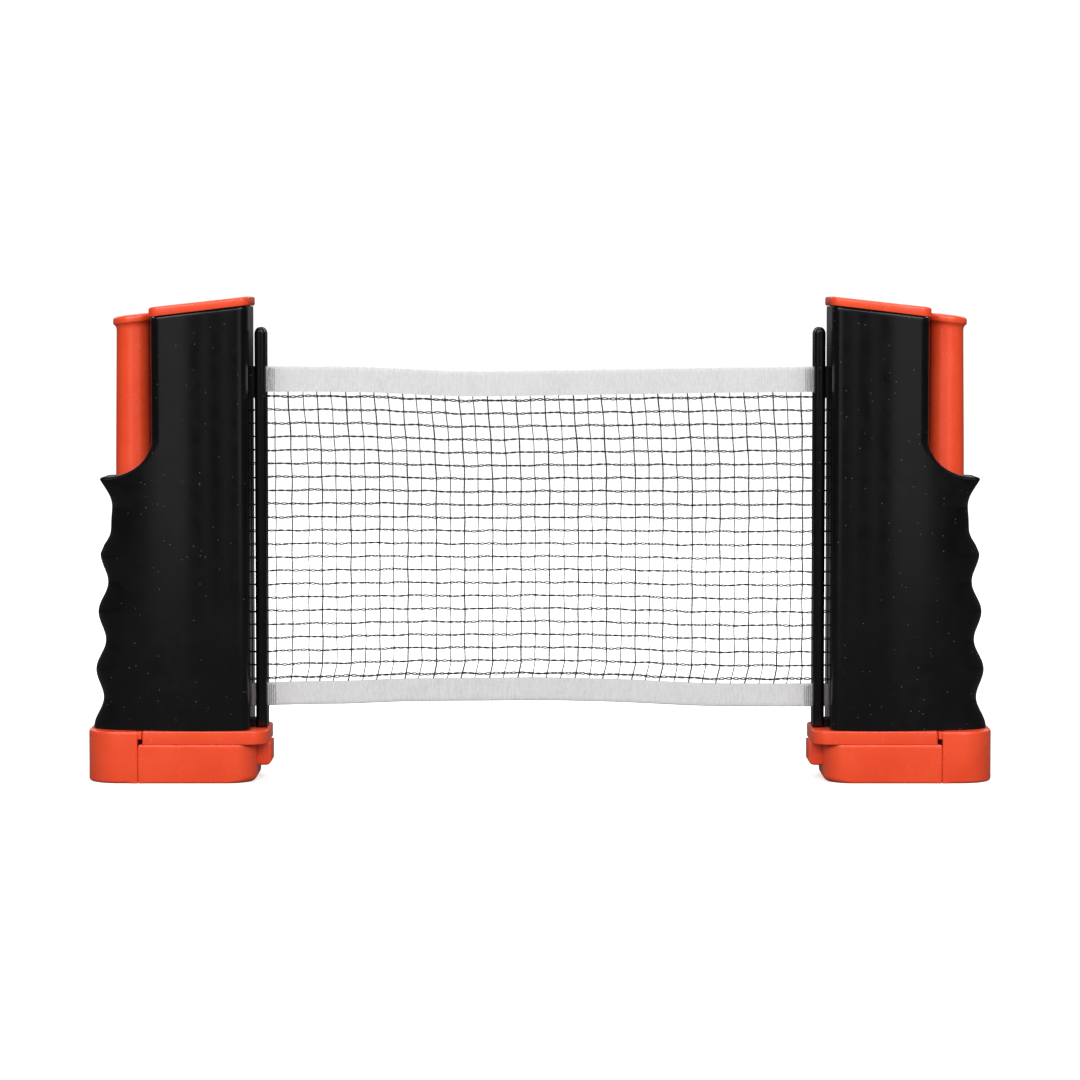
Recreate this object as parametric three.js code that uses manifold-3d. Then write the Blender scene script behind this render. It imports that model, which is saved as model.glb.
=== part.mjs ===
// A retractable table tennis net: two spring clamp posts, mirror images of each other, joined by a
// net that winds onto a reel inside each post. Pressing a post's plunger pushes its lower jaw down,
// and a spring pulls the jaw back up against the table.
//
// Millimetres, +Z up. +X runs along the net, and the origin lies on the floor midway between the
// posts. A post is drawn once, in its own frame: x = 0 is the face of its guide bars that looks at
// the net, +x points away from the net, and y = 0 is the plane of the net.

import * as THREE from 'three';
import { mergeVertices } from 'three/addons/utils/BufferGeometryUtils.js';
import Module from 'manifold-3d';

// ---------------------------------------------------------------- driving dimensions

const GAP = 0.3;                    // between pieces that touch
const WALL = 2.4;                   // walls of the moulded parts

// Net
const NET_SPAN = 224.6;             // net in the open, between the guide bars of the two posts
const NET_HEIGHT = 140.4;
const TOP_TAPE_HEIGHT = 10.5;
const BOTTOM_TAPE_HEIGHT = 9.5;
const TAPE_THICKNESS = 1.6;
const MESH_THICKNESS = 0.8;
const NET_RISE = 8.1;               // from the bottom of the shells to the lower edge of the net
const HEADROOM = 19.9;              // from the upper edge of the net to the eaves of the post

// Jaws and base
const JAW_HALF_DEPTH = 21;
const LOWER_JAW_HEIGHT = 15.6;
const JAW_GAP = 0.8;                // between the plastic of the two jaws when they are closed
const UPPER_JAW_THICKNESS = 4.7;
const UPPER_JAW_REACH = 1.9;        // past the guide bars, towards the net
const UPPER_JAW_TAIL = 4.2;         // past the reel chamber, away from the net
const THROAT_SLIT = 1.8;            // between the upper jaw and the web of the lower jaw
const WEB_MARGIN = 1.1;             // of the base past the lowest finger peak
const LOWER_JAW_SETBACK = 3.2;      // end of the lower jaw, measured from the guide bars
const NOSE_REACH = 2.7;             // past the guide bars, towards the net
const NOSE_HEIGHT = 9.6;
const NOSE_HALF_DEPTH = 8;
const CLAMP_TRAVEL = 45;

// Jaw pads
const PAD_THICKNESS = 1.75;
const PAD_LENGTH = 37;
const PAD_HALF_DEPTH = 15;
const PAD_START = 8;                // from the guide bars

// Guide bars
const GUIDE_WIDTH = 4.8;
const GUIDE_DEPTH = 5.5;
const GUIDE_SHORTFALL = 3.7;        // from the top of a guide bar up to the eaves of the post
const GUIDE_STAND_OFF = 1.1;        // between a guide bar and the reel chamber
const NET_PASSAGE = 2.4;            // between the front and the back guide bar
const GUIDE_WEB = 1.2;

// Reel chamber
const CHAMBER_WIDTH = 41.2;
const CHAMBER_HALF_DEPTH = 20;
const CHAMBER_CROWN = 2.5;          // how far the front bulges past its own edges
const CHAMBER_CORNER = 4;
const ROOF_RISE = 4.8;              // from the outer eaves to the eaves above the net

// Cap
const CAP_THICKNESS_OUTER = 4.2;
const CAP_THICKNESS_INNER = 3.8;
const CAP_OVERHANG = 0.6;
const CAP_LIP_DEPTH = 2.3;

// Grip
const GRIP_HALF_DEPTH = 16.5;
const GRIP_EDGE_HALF_DEPTH = 8;     // where the fingers lie
const GRIP_HEIGHT = 117.8;          // from the bottom of the shells to the grip's root on the chamber
const PEAK_MARGIN_BOTTOM = 9.9;     // of the lowest finger peak past the plunger
const PEAK_MARGIN_TOP = 6.6;        // of the top finger peak past the plunger
const FINGER_COUNT = 4;
const FINGER_DEPTH = 3.7;
const SHANK_MARGIN = 2.1;           // of the straight stretch over the fingers past the plunger
const SPUR_MARGIN = 6.3;            // of the spur past the plunger
const SPUR_DROP = 15.5;             // from the grip's root to the tip of the spur

// Plunger, leg and clamp spring
const PLUNGER_RADIUS = 8;
const PLUNGER_TOP_RADIUS = 7.4;
const PLUNGER_FLAT = 6.7;           // from the plunger's axis to its flat side
const PLUNGER_BORE = 5.6;
const PLUNGER_CLEARANCE = 0.4;
const COLLAR_OVERHANG = 0.9;
const COLLAR_HEIGHT = 3.2;
const COVE_HEIGHT = 2.3;
const STEM_MARGIN = 7.6;            // leg head above the shells' bottom when the jaw is fully down
const LEG_THICKNESS = 7.2;
const LEG_HALF_DEPTH = 9;
const LEG_HEAD_HEIGHT = 10;
const SPIGOT_HEIGHT = 10;
const SEAT_THICKNESS = 3.5;
const SPRING_WIRE = 0.5;            // radius
const SPRING_COILS = 10;

// Reel
const CORE_RADIUS = 8;
const CORE_BORE = 5;
const HUB_LENGTH = 9;               // of the core at each end that closes in on the axle
const REEL_CLEARANCE = 1;           // between the reel's flanges and the chamber's walls
const FLANGE_RIM = 0.8;             // of the flanges past the full roll
const FLANGE_THICKNESS = 1.4;
const ROLL_END_PLAY = 0.5;
const AXLE_RADIUS = 2;
const BUSH_RADIUS = 4;
const BUSH_HEIGHT = 6.8;
const CUP_STEP = 2.1;               // from the radius of the flanges down to that of the cup
const CUP_HEIGHT = 6;
const CUP_WALL = 1.5;
const CUP_PLATE = 2;
const RETURN_SPRING_STRIP = 0.5;
const RETURN_SPRING_TURNS = 3;

// Screws
const SCREW_RADIUS = 0.9;
const SCREW_HEAD_RADIUS = 2;
const SCREW_HEAD_HEIGHT = 1.4;
const SCREW_REACH = 9;              // into the front shell
const BOSS_RADIUS = 2.5;

// ---------------------------------------------------------------- derived places

const lowerJawTop = LOWER_JAW_HEIGHT;
const upperJawBottom = lowerJawTop + JAW_GAP;
const upperJawTop = upperJawBottom + UPPER_JAW_THICKNESS;
const shellBottom = upperJawTop + GAP;
const netBottom = shellBottom + NET_RISE;
const netTop = netBottom + NET_HEIGHT;
const eavesOuter = netTop + HEADROOM;
const eavesInner = eavesOuter + ROOF_RISE;

const chamberInner = GUIDE_WIDTH + GUIDE_STAND_OFF;
const chamberOuter = chamberInner + CHAMBER_WIDTH;
const reelX = (chamberInner + chamberOuter) / 2;
const upperJawEnd = chamberOuter + UPPER_JAW_TAIL;
const webInner = upperJawEnd + THROAT_SLIT;

const plungerX = chamberOuter + PLUNGER_CLEARANCE + PLUNGER_FLAT;
const plungerReach = plungerX + PLUNGER_RADIUS - chamberOuter;
const peakReachBottom = plungerReach + PEAK_MARGIN_BOTTOM;
const peakReachTop = plungerReach + PEAK_MARGIN_TOP;
const shankReach = plungerReach + SHANK_MARGIN;
const spurReach = plungerReach + SPUR_MARGIN;
const webOuter = chamberOuter + peakReachBottom + WEB_MARGIN;
const legHeadBottom = shellBottom + CLAMP_TRAVEL + STEM_MARGIN;
const legHeadTop = legHeadBottom + LEG_HEAD_HEIGHT;
const spigotTop = legHeadTop + SPIGOT_HEIGHT;
const plungerBottom = legHeadTop + GAP;
const seatBottom = spigotTop + 2;
const seatTop = seatBottom + SEAT_THICKNESS;
const collarTop = eavesOuter + GAP;
const boreTop = collarTop - COLLAR_HEIGHT - COVE_HEIGHT - 3.6;
const legOuter = plungerX + PLUNGER_RADIUS + 0.4;
const legInner = legOuter - LEG_THICKNESS;

const gripTop = shellBottom + GRIP_HEIGHT;
const spurTipZ = gripTop - SPUR_DROP;
const fingerBottom = shellBottom + 0.5;
const fingerTop = spurTipZ - 30.4;
const shankBottom = fingerTop + 8.2;
const shankTop = spurTipZ - 10.7;

const reelBottom = netBottom - ROLL_END_PLAY - FLANGE_THICKNESS;
const reelTop = netTop + ROLL_END_PLAY + FLANGE_THICKNESS;
const cupBottom = reelTop + 1.8;
const cupTop = cupBottom + CUP_HEIGHT;
const cupPlateTop = cupTop + CUP_PLATE;
const plugTop = reelBottom - 0.7;
const flangeRadius = Math.min(CHAMBER_WIDTH / 2, CHAMBER_HALF_DEPTH) - WALL - REEL_CLEARANCE;
const rollRadius = flangeRadius - FLANGE_RIM;
const cupRadius = flangeRadius - CUP_STEP;

const padEnd = PAD_START + PAD_LENGTH;
const passage = NET_PASSAGE / 2;

// Screws that hold the back shell to the front shell, in the post's x and z.
const SHELL_SCREWS = [
  [chamberInner + WALL + 3.8, cupPlateTop + BOSS_RADIUS + GAP],
  [chamberOuter - WALL - 3.8, cupPlateTop + BOSS_RADIUS + GAP],
  [chamberInner + WALL + 3.8, plugTop - BOSS_RADIUS - 0.1],
  [chamberOuter - WALL - 3.8, plugTop - BOSS_RADIUS - 0.1],
  [legOuter + BOSS_RADIUS + 1.2, shellBottom + 4.1],
  [legOuter + BOSS_RADIUS + 0.3, fingerTop],
];

// ---------------------------------------------------------------- finishes

const FINISH = {
  black: { color: 0x151517, roughness: 0.42, metalness: 0 },
  orange: { color: 0xe64a24, roughness: 0.35, metalness: 0 },
  rubber: { color: 0x1c1c1c, roughness: 0.85, metalness: 0 },
  steel: { color: 0xb4b7bb, roughness: 0.3, metalness: 1 },
  grey: { color: 0x6d7175, roughness: 0.5, metalness: 0 },
  mesh: { color: 0x161616, roughness: 0.9, metalness: 0 },
  tape: { color: 0xe6e6e4, roughness: 0.9, metalness: 0 },
};

// ---------------------------------------------------------------- solid helpers

const wasm = await Module();
wasm.setup();

// Turns a closed three.js geometry into a solid that can be joined and cut.
function toSolid(geometry) {
  const bare = geometry.clone();
  bare.deleteAttribute('normal');
  bare.deleteAttribute('uv');
  const merged = mergeVertices(bare, 1e-5);
  return new wasm.Manifold(new wasm.Mesh({
    numProp: 3,
    vertProperties: Float32Array.from(merged.attributes.position.array),
    triVerts: Uint32Array.from(merged.index.array),
  }));
}

function toGeometry(solid) {
  const { vertProperties, triVerts } = solid.getMesh();
  const geometry = new THREE.BufferGeometry();
  geometry.setAttribute('position', new THREE.BufferAttribute(Float32Array.from(vertProperties), 3));
  geometry.setIndex(new THREE.BufferAttribute(Uint32Array.from(triVerts), 1));
  geometry.computeVertexNormals();
  return geometry;
}

function box(x0, x1, y0, y1, z0, z1) {
  const geometry = new THREE.BoxGeometry(x1 - x0, y1 - y0, z1 - z0);
  geometry.translate((x0 + x1) / 2, (y0 + y1) / 2, (z0 + z1) / 2);
  return toSolid(geometry);
}

// A solid of revolution about a vertical axis. The profile is a list of [radius, z].
function turned(profile, x, segments = 18) {
  const points = profile.map(([radius, z]) => new THREE.Vector2(radius, z));
  const geometry = new THREE.LatheGeometry(points, segments);
  geometry.rotateX(Math.PI / 2);
  geometry.translate(x, 0, 0);
  return toSolid(geometry);
}

function upright(radius, x, z0, z1, segments = 18) {
  return turned([[0, z0], [radius, z0], [radius, z1], [0, z1]], x, segments);
}

// A cylinder along Y, from y0 to y1.
function crosswise(radius, x, z, y0, y1, segments = 8) {
  const geometry = new THREE.CylinderGeometry(radius, radius, y1 - y0, segments);
  geometry.translate(x, (y0 + y1) / 2, z);
  return toSolid(geometry);
}

// Extrudes an outline in x and y upwards.
function risen(points, z0, z1) {
  const geometry = new THREE.ExtrudeGeometry(new THREE.Shape(points), {
    depth: z1 - z0,
    bevelEnabled: false,
  });
  geometry.translate(0, 0, z0);
  return toSolid(geometry);
}

// Extrudes an outline in x and z across the post, from -halfDepth to +halfDepth.
function across(points, halfDepth) {
  const geometry = new THREE.ExtrudeGeometry(new THREE.Shape(points), {
    depth: 2 * halfDepth,
    bevelEnabled: false,
  });
  geometry.rotateX(Math.PI / 2);
  geometry.translate(0, halfDepth, 0);
  return toSolid(geometry);
}

function roundedRectangle(x0, x1, halfDepth, innerRadius, outerRadius) {
  const shape = new THREE.Shape();
  shape.moveTo(x0 + innerRadius, -halfDepth);
  shape.lineTo(x1 - outerRadius, -halfDepth);
  shape.absarc(x1 - outerRadius, -halfDepth + outerRadius, outerRadius, -Math.PI / 2, 0, false);
  shape.absarc(x1 - outerRadius, halfDepth - outerRadius, outerRadius, 0, Math.PI / 2, false);
  shape.absarc(x0 + innerRadius, halfDepth - innerRadius, innerRadius, Math.PI / 2, Math.PI, false);
  shape.absarc(x0 + innerRadius, -halfDepth + innerRadius, innerRadius, Math.PI, 1.5 * Math.PI, false);
  return shape.getPoints(4);
}

// ---------------------------------------------------------------- outlines of the post

// Plan of the reel chamber: a rounded box with bulging front and back.
function chamberPlan(inset) {
  const width = CHAMBER_WIDTH / 2 - inset;
  const depth = CHAMBER_HALF_DEPTH - inset;
  const edge = depth - CHAMBER_CROWN;
  const corner = Math.max(CHAMBER_CORNER - inset, 0.8);
  const points = [];
  for (const [side, start] of [[1, 0], [-1, Math.PI]]) {
    points.push([side * width, side * (edge - corner)]);
    for (const turn of [0.3, 0.75]) {
      const angle = start + turn * (Math.PI / 2);
      points.push([
        side * (width - corner) + corner * Math.cos(angle),
        side * (edge - corner) + corner * Math.sin(angle),
      ]);
    }
    for (const share of [0.5, 0, -0.5]) {
      points.push([side * share * width, side * (edge + CHAMBER_CROWN * (1 - share * share))]);
    }
    for (const turn of [0.25, 0.7]) {
      const angle = start + (1 + turn) * (Math.PI / 2);
      points.push([
        -side * (width - corner) + corner * Math.cos(angle),
        side * (edge - corner) + corner * Math.sin(angle),
      ]);
    }
    points.push([-side * width, side * (edge - corner)]);
  }
  return points.map(([x, y]) => new THREE.Vector2(reelX + x, y));
}

// Outer edge of the grip where the fingers lie: peaks and hollows that lean out downwards.
function fingerEdge(z) {
  const pitch = (fingerTop - fingerBottom) / (FINGER_COUNT - 1);
  const share = (z - fingerBottom) / (fingerTop - fingerBottom);
  const peak = peakReachBottom + (peakReachTop - peakReachBottom) * share;
  const phase = (Math.PI * (z - fingerBottom)) / pitch;
  return chamberOuter + peak - FINGER_DEPTH * (Math.sin(phase) ** 2) ** 0.75;
}

// Plan of the grip: full depth beside the chamber, and rounded towards the fingers.
function gripPlan(inset) {
  const depth = GRIP_HALF_DEPTH - inset;
  const edge = GRIP_EDGE_HALF_DEPTH - inset;
  const points = [];
  for (let i = 0; i <= 3; i += 1) {
    const angle = (i / 3) * (Math.PI / 2);
    points.push(new THREE.Vector2(
      chamberOuter + shankReach * 0.6 + (peakReachBottom - shankReach * 0.6) * Math.sin(angle) - inset,
      -edge - (depth - edge) * Math.cos(angle),
    ));
  }
  const far = webOuter + 20;
  points.push(new THREE.Vector2(far, -edge), new THREE.Vector2(far, edge));
  for (let i = 3; i >= 0; i -= 1) {
    points.push(new THREE.Vector2(points[i].x, -points[i].y));
  }
  points.push(new THREE.Vector2(chamberOuter - 20, depth), new THREE.Vector2(chamberOuter - 20, -depth));
  return points;
}

// Outline of the grip in x and z, kept inside by inset. It overlaps the chamber by lap.
function gripOutline(inset, lap, bottom) {
  const points = [new THREE.Vector2(chamberOuter - lap, bottom)];
  const stepCount = 6 * (FINGER_COUNT - 1);
  points.push(new THREE.Vector2(fingerEdge(fingerBottom) - inset, bottom));
  for (let i = 1; i <= stepCount; i += 1) {
    const z = fingerBottom + ((fingerTop - fingerBottom) * i) / stepCount;
    points.push(new THREE.Vector2(fingerEdge(z) - inset, z));
  }
  const upper = new THREE.CatmullRomCurve3([
    [peakReachTop - 1.4, fingerTop + 3.6],
    [shankReach + 0.5, shankBottom],
    [shankReach, (shankBottom + shankTop) / 2],
    [shankReach - 0.4, shankTop],
    [shankReach + 0.2, shankTop + 3.7],
    [spurReach - 1.9, spurTipZ - 3],
  ].map(([reach, z]) => new THREE.Vector3(chamberOuter + reach - inset, z, 0)));
  for (const point of upper.getPoints(8)) {
    if (point.y < spurTipZ - 2 - inset) {
      points.push(new THREE.Vector2(point.x, point.y));
    }
  }
  if (inset === 0) {
    points.push(new THREE.Vector2(chamberOuter + spurReach, spurTipZ));
    points.push(new THREE.Vector2(chamberOuter + spurReach - 1.2, spurTipZ + 1.1));
  }
  for (let i = 1; i <= 6; i += 1) {
    const angle = (i / 6) * (Math.PI / 2);
    const reach = (spurReach - 1.2 - inset * 2) * (1 - Math.sin(angle));
    const drop = (SPUR_DROP - 1.1) * Math.cos(angle);
    points.push(new THREE.Vector2(chamberOuter + reach, gripTop - inset - drop));
  }
  points.push(new THREE.Vector2(chamberOuter - lap, gripTop - inset));
  return points;
}

// Everything above the slanted roof, to cut the post off at the eaves.
function aboveRoof(lift) {
  const slope = -ROOF_RISE / CHAMBER_WIDTH;
  const zAt = (x) => eavesOuter + lift + slope * (x - chamberOuter);
  const from = chamberInner - 10;
  const to = chamberOuter + 10;
  return across([
    new THREE.Vector2(from, zAt(from)),
    new THREE.Vector2(to, zAt(to)),
    new THREE.Vector2(to, eavesInner + 60),
    new THREE.Vector2(from, eavesInner + 60),
  ], JAW_HALF_DEPTH + 10);
}

// ---------------------------------------------------------------- shells

// Both shells in one, before they are parted along the plane of the net.
function wholeShell() {
  const chamber = risen(chamberPlan(0), shellBottom, eavesInner + 20).subtract(aboveRoof(0));
  const grip = across(gripOutline(0, 4, shellBottom), GRIP_HALF_DEPTH + 5)
    .intersect(risen(gripPlan(0), shellBottom - 5, gripTop + 5));
  const belowGrip = box(chamberOuter - 6, webOuter + 9, -30, 30, shellBottom - 30, shellBottom);
  const reelRoom = risen(chamberPlan(WALL), shellBottom - 1, eavesInner + 30);
  const gripRoom = across(gripOutline(WALL, 0, shellBottom - 1), GRIP_HALF_DEPTH + 5)
    .intersect(risen(gripPlan(WALL), shellBottom - 5, gripTop + 5))
    .intersect(box(chamberOuter, webOuter + 9, -30, 30, shellBottom - 30, eavesInner));
  const plungerHole = upright(PLUNGER_RADIUS + 0.35, plungerX, plungerBottom, gripTop + 20, 20)
    .intersect(box(chamberOuter, webOuter, -30, 30, plungerBottom, gripTop + 20));
  const webGap = passage + GUIDE_WEB + GAP;
  const netSlot = box(chamberInner - 2, chamberInner + WALL + 1, -webGap, webGap,
    netBottom + 1, netTop - 1);
  const slotCut = box(chamberInner - 2, chamberInner + WALL + 1, -passage, passage,
    netBottom - 1.2, netTop + 1.2);
  return chamber.add(grip).subtract(belowGrip).subtract(reelRoom).subtract(gripRoom)
    .subtract(plungerHole).subtract(netSlot).subtract(slotCut);
}

// How deep the post is at a screw, from the plane of the net to the outside.
function depthAt(x) {
  if (x > chamberOuter) {
    return GRIP_HALF_DEPTH - 1.5;
  }
  const share = (x - reelX) / (CHAMBER_WIDTH / 2);
  return CHAMBER_HALF_DEPTH - CHAMBER_CROWN * share * share;
}

// The bosses, the ledges under the spring cup and the tab that the clamp spring stands on.
function shellFittings() {
  const fittings = SHELL_SCREWS.map(([x, z]) =>
    crosswise(BOSS_RADIUS, x, z, -depthAt(x) + 1.2, depthAt(x) - 1.2));
  for (const [x0, x1] of [
    [chamberInner + 0.5, chamberInner + WALL + 1.6],
    [chamberOuter - WALL - 1.6, chamberOuter - 0.5],
  ]) {
    fittings.push(box(x0, x1, 10, CHAMBER_HALF_DEPTH - CHAMBER_CROWN - 3, cupTop - 3, cupTop - GAP));
    fittings.push(box(x0, x1, -CHAMBER_HALF_DEPTH + CHAMBER_CROWN + 3, -10, cupTop - 3, cupTop - GAP));
  }
  fittings.push(box(chamberOuter - 1, plungerX + PLUNGER_BORE - 1.2, -2.7, 2.7, seatBottom, seatTop));
  return fittings;
}

function screwHole(x, z) {
  const shank = crosswise(SCREW_RADIUS + GAP, x, z, -SCREW_REACH - 1, 40, 6);
  const head = crosswise(SCREW_HEAD_RADIUS + GAP, x, z, depthAt(x) - 2.6, 40);
  return shank.add(head);
}

function shells() {
  let whole = wholeShell();
  for (const fitting of shellFittings()) {
    whole = whole.add(fitting);
  }
  for (const [x, z] of SHELL_SCREWS) {
    whole = whole.subtract(screwHole(x, z));
  }
  const far = 400;
  const front = whole.intersect(box(-far, far, -far, -GAP / 2, -far, far));
  const back = whole.intersect(box(-far, far, GAP / 2, far, -far, far));
  return { front, back };
}

function shellScrew(x, z) {
  const headTop = depthAt(x) - 2.6 + GAP + SCREW_HEAD_HEIGHT;
  const geometry = new THREE.LatheGeometry([
    [0, -SCREW_REACH],
    [SCREW_RADIUS, -SCREW_REACH + 1],
    [SCREW_RADIUS, headTop - SCREW_HEAD_HEIGHT],
    [SCREW_HEAD_RADIUS, headTop - SCREW_HEAD_HEIGHT],
    [SCREW_HEAD_RADIUS * 0.8, headTop],
    [0, headTop],
  ].map(([radius, y]) => new THREE.Vector2(radius, y)), 8);
  geometry.translate(x, 0, z);
  return toSolid(geometry);
}

// ---------------------------------------------------------------- upper jaw, pads and cap

function padSolid(z0) {
  return box(PAD_START, padEnd, -PAD_HALF_DEPTH, PAD_HALF_DEPTH, z0, z0 + PAD_THICKNESS);
}

function padRecess(z0) {
  return box(PAD_START - GAP, padEnd + GAP, -PAD_HALF_DEPTH - GAP, PAD_HALF_DEPTH + GAP,
    z0 - GAP, z0 + PAD_THICKNESS + GAP);
}

const padGap = GAP / 2;
const jawPlane = (lowerJawTop + upperJawBottom) / 2;
const upperPadBottom = jawPlane + padGap;
const lowerPadBottom = jawPlane - padGap - PAD_THICKNESS;

function upperJaw() {
  const plate = risen(roundedRectangle(-UPPER_JAW_REACH, upperJawEnd, JAW_HALF_DEPTH, 8, 1.5),
    upperJawBottom, upperJawTop);
  const plug = risen(chamberPlan(WALL + GAP), upperJawTop - 1, plugTop);
  const bushPocket = upright(BUSH_RADIUS + GAP, reelX, plugTop - BUSH_HEIGHT - GAP, plugTop + 5);
  let jaw = plate.add(plug).subtract(bushPocket).subtract(padRecess(upperPadBottom));
  for (const [x, z] of SHELL_SCREWS.slice(2, 4)) {
    jaw = jaw.subtract(crosswise(BOSS_RADIUS + GAP, x, z, -30, 30));
    jaw = jaw.subtract(box(x - BOSS_RADIUS - GAP, x + BOSS_RADIUS + GAP, -30, 30, z, plugTop + 3));
  }
  for (const side of [-1, 1]) {
    const y = side * (passage + GUIDE_DEPTH / 2);
    const geometry = new THREE.CylinderGeometry(1.9, 1.9, 6, 8);
    geometry.rotateX(Math.PI / 2);
    geometry.translate(GUIDE_WIDTH / 2, y, upperJawTop);
    jaw = jaw.subtract(toSolid(geometry));
  }
  return jaw;
}

function capPlate(inset, bottomLift, topLift) {
  const slope = -ROOF_RISE / CHAMBER_WIDTH;
  const innerX = chamberInner - CAP_OVERHANG + inset;
  const outerX = chamberOuter - inset;
  const zAt = (x) => eavesOuter + GAP + slope * (x - chamberOuter);
  return [
    new THREE.Vector2(innerX, zAt(innerX) + bottomLift),
    new THREE.Vector2(outerX, zAt(outerX) + bottomLift),
    new THREE.Vector2(outerX, zAt(outerX) + CAP_THICKNESS_OUTER + topLift),
    new THREE.Vector2(innerX, zAt(innerX) + CAP_THICKNESS_INNER + topLift),
  ];
}

function topCap() {
  const lidPlan = risen(chamberPlan(-CAP_OVERHANG), eavesOuter - 20, eavesInner + 40)
    .intersect(box(chamberInner - CAP_OVERHANG, chamberOuter, -30, 30, 0, eavesInner + 60));
  const lid = across(capPlate(0, 0, 0), CHAMBER_HALF_DEPTH + 5).intersect(lidPlan);
  const lipOuter = risen(chamberPlan(WALL + GAP), eavesOuter - 40, eavesInner + 40);
  const lipInner = risen(chamberPlan(WALL + GAP + 1.6), eavesOuter - 50, eavesInner + 50);
  const lip = across(capPlate(0, -CAP_LIP_DEPTH, -2), CHAMBER_HALF_DEPTH + 5)
    .intersect(lipOuter.subtract(lipInner));
  return lid.add(lip);
}

function guideBar(side) {
  const inner = side * passage;
  const outer = side * (passage + GUIDE_DEPTH);
  const [y0, y1] = inner < outer ? [inner, outer] : [outer, inner];
  const top = eavesOuter - GUIDE_SHORTFALL;
  const dome = GUIDE_WIDTH / 2;
  const outline = [new THREE.Vector2(0, shellBottom), new THREE.Vector2(GUIDE_WIDTH, shellBottom)];
  for (let i = 0; i <= 6; i += 1) {
    const angle = (i / 6) * Math.PI;
    outline.push(new THREE.Vector2(dome + dome * Math.cos(angle), top - dome + dome * Math.sin(angle)));
  }
  const plan = new THREE.Shape();
  plan.moveTo(0.4, inner);
  plan.lineTo(GUIDE_WIDTH - 0.4, inner);
  plan.lineTo(GUIDE_WIDTH, inner + side * 0.4);
  plan.lineTo(GUIDE_WIDTH, outer - side * 2);
  plan.lineTo(GUIDE_WIDTH - 0.7, outer - side * 0.7);
  plan.lineTo(GUIDE_WIDTH - 2, outer);
  plan.lineTo(2, outer);
  plan.lineTo(0.7, outer - side * 0.7);
  plan.lineTo(0, outer - side * 2);
  plan.lineTo(0, inner + side * 0.4);
  const post = risen(plan.getPoints(), shellBottom, top)
    .intersect(across(outline, GUIDE_DEPTH + NET_PASSAGE));
  const lipX = chamberInner + WALL + GAP;
  const webY = side * (passage + GUIDE_WEB);
  const lipY = side * (passage + GUIDE_WEB + 1.7);
  const web = box(GUIDE_WIDTH - 1, lipX + 1.2, Math.min(inner, webY), Math.max(inner, webY),
    netBottom + 1.5, netTop - 1.5);
  const lip = box(lipX, lipX + 1.2, Math.min(inner, lipY), Math.max(inner, lipY),
    netBottom + 1.5, netTop - 1.5);
  const pegGeometry = new THREE.CylinderGeometry(1.6, 1.6, 4, 8);
  pegGeometry.rotateX(Math.PI / 2);
  pegGeometry.translate(GUIDE_WIDTH / 2, (y0 + y1) / 2, shellBottom - 0.8);
  return post.add(web).add(lip).add(toSolid(pegGeometry));
}

// ---------------------------------------------------------------- clamp

function plunger() {
  const collarRadius = PLUNGER_TOP_RADIUS + COLLAR_OVERHANG + 0.5;
  const collarBottom = collarTop - COLLAR_HEIGHT;
  const coveBottom = collarBottom - COVE_HEIGHT;
  const body = turned([
    [0, plungerBottom],
    [PLUNGER_RADIUS, plungerBottom],
    [PLUNGER_RADIUS, gripTop - 8],
    [PLUNGER_TOP_RADIUS, coveBottom],
    [PLUNGER_TOP_RADIUS + 0.3, coveBottom + COVE_HEIGHT * 0.55],
    [collarRadius - 0.3, collarBottom],
    [collarRadius, collarBottom + 0.4],
    [collarRadius, collarTop + 6],
    [0, collarTop + 6],
  ], plungerX, 20);
  const slope = -ROOF_RISE / CHAMBER_WIDTH;
  const zAt = (x) => collarTop + slope * (x - plungerX - collarRadius);
  const topCut = across([
    new THREE.Vector2(plungerX - 20, zAt(plungerX - 20)),
    new THREE.Vector2(plungerX + 20, zAt(plungerX + 20)),
    new THREE.Vector2(plungerX + 20, collarTop + 30),
    new THREE.Vector2(plungerX - 20, collarTop + 30),
  ], 20);
  const flat = box(plungerX - 30, plungerX - PLUNGER_FLAT, -20, 20, plungerBottom - 5, collarTop + 20);
  const bore = upright(PLUNGER_BORE, plungerX, plungerBottom - 5, boreTop);
  const slot = box(plungerX - 20, plungerX, -3.1, 3.1, seatBottom - 0.4, seatTop + CLAMP_TRAVEL + 0.5);
  const screw = crosswise(SCREW_RADIUS + GAP, plungerX, legHeadTop + 5.5, -PLUNGER_BORE - 1, 20, 6)
    .add(crosswise(SCREW_HEAD_RADIUS + GAP, plungerX, legHeadTop + 5.5, PLUNGER_RADIUS - 1, 20));
  return body.subtract(topCut).subtract(flat).subtract(bore).subtract(slot).subtract(screw);
}

function plungerScrew() {
  const seat = PLUNGER_RADIUS - 1 + GAP;
  const geometry = new THREE.LatheGeometry([
    [0, -3],
    [SCREW_RADIUS, -2],
    [SCREW_RADIUS, seat],
    [SCREW_HEAD_RADIUS, seat],
    [SCREW_HEAD_RADIUS * 0.8, seat + SCREW_HEAD_HEIGHT],
    [0, seat + SCREW_HEAD_HEIGHT],
  ].map(([radius, y]) => new THREE.Vector2(radius, y)), 8);
  geometry.translate(plungerX, 0, legHeadTop + 5.5);
  return toSolid(geometry);
}

const legFootBottom = 4.3;

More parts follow.
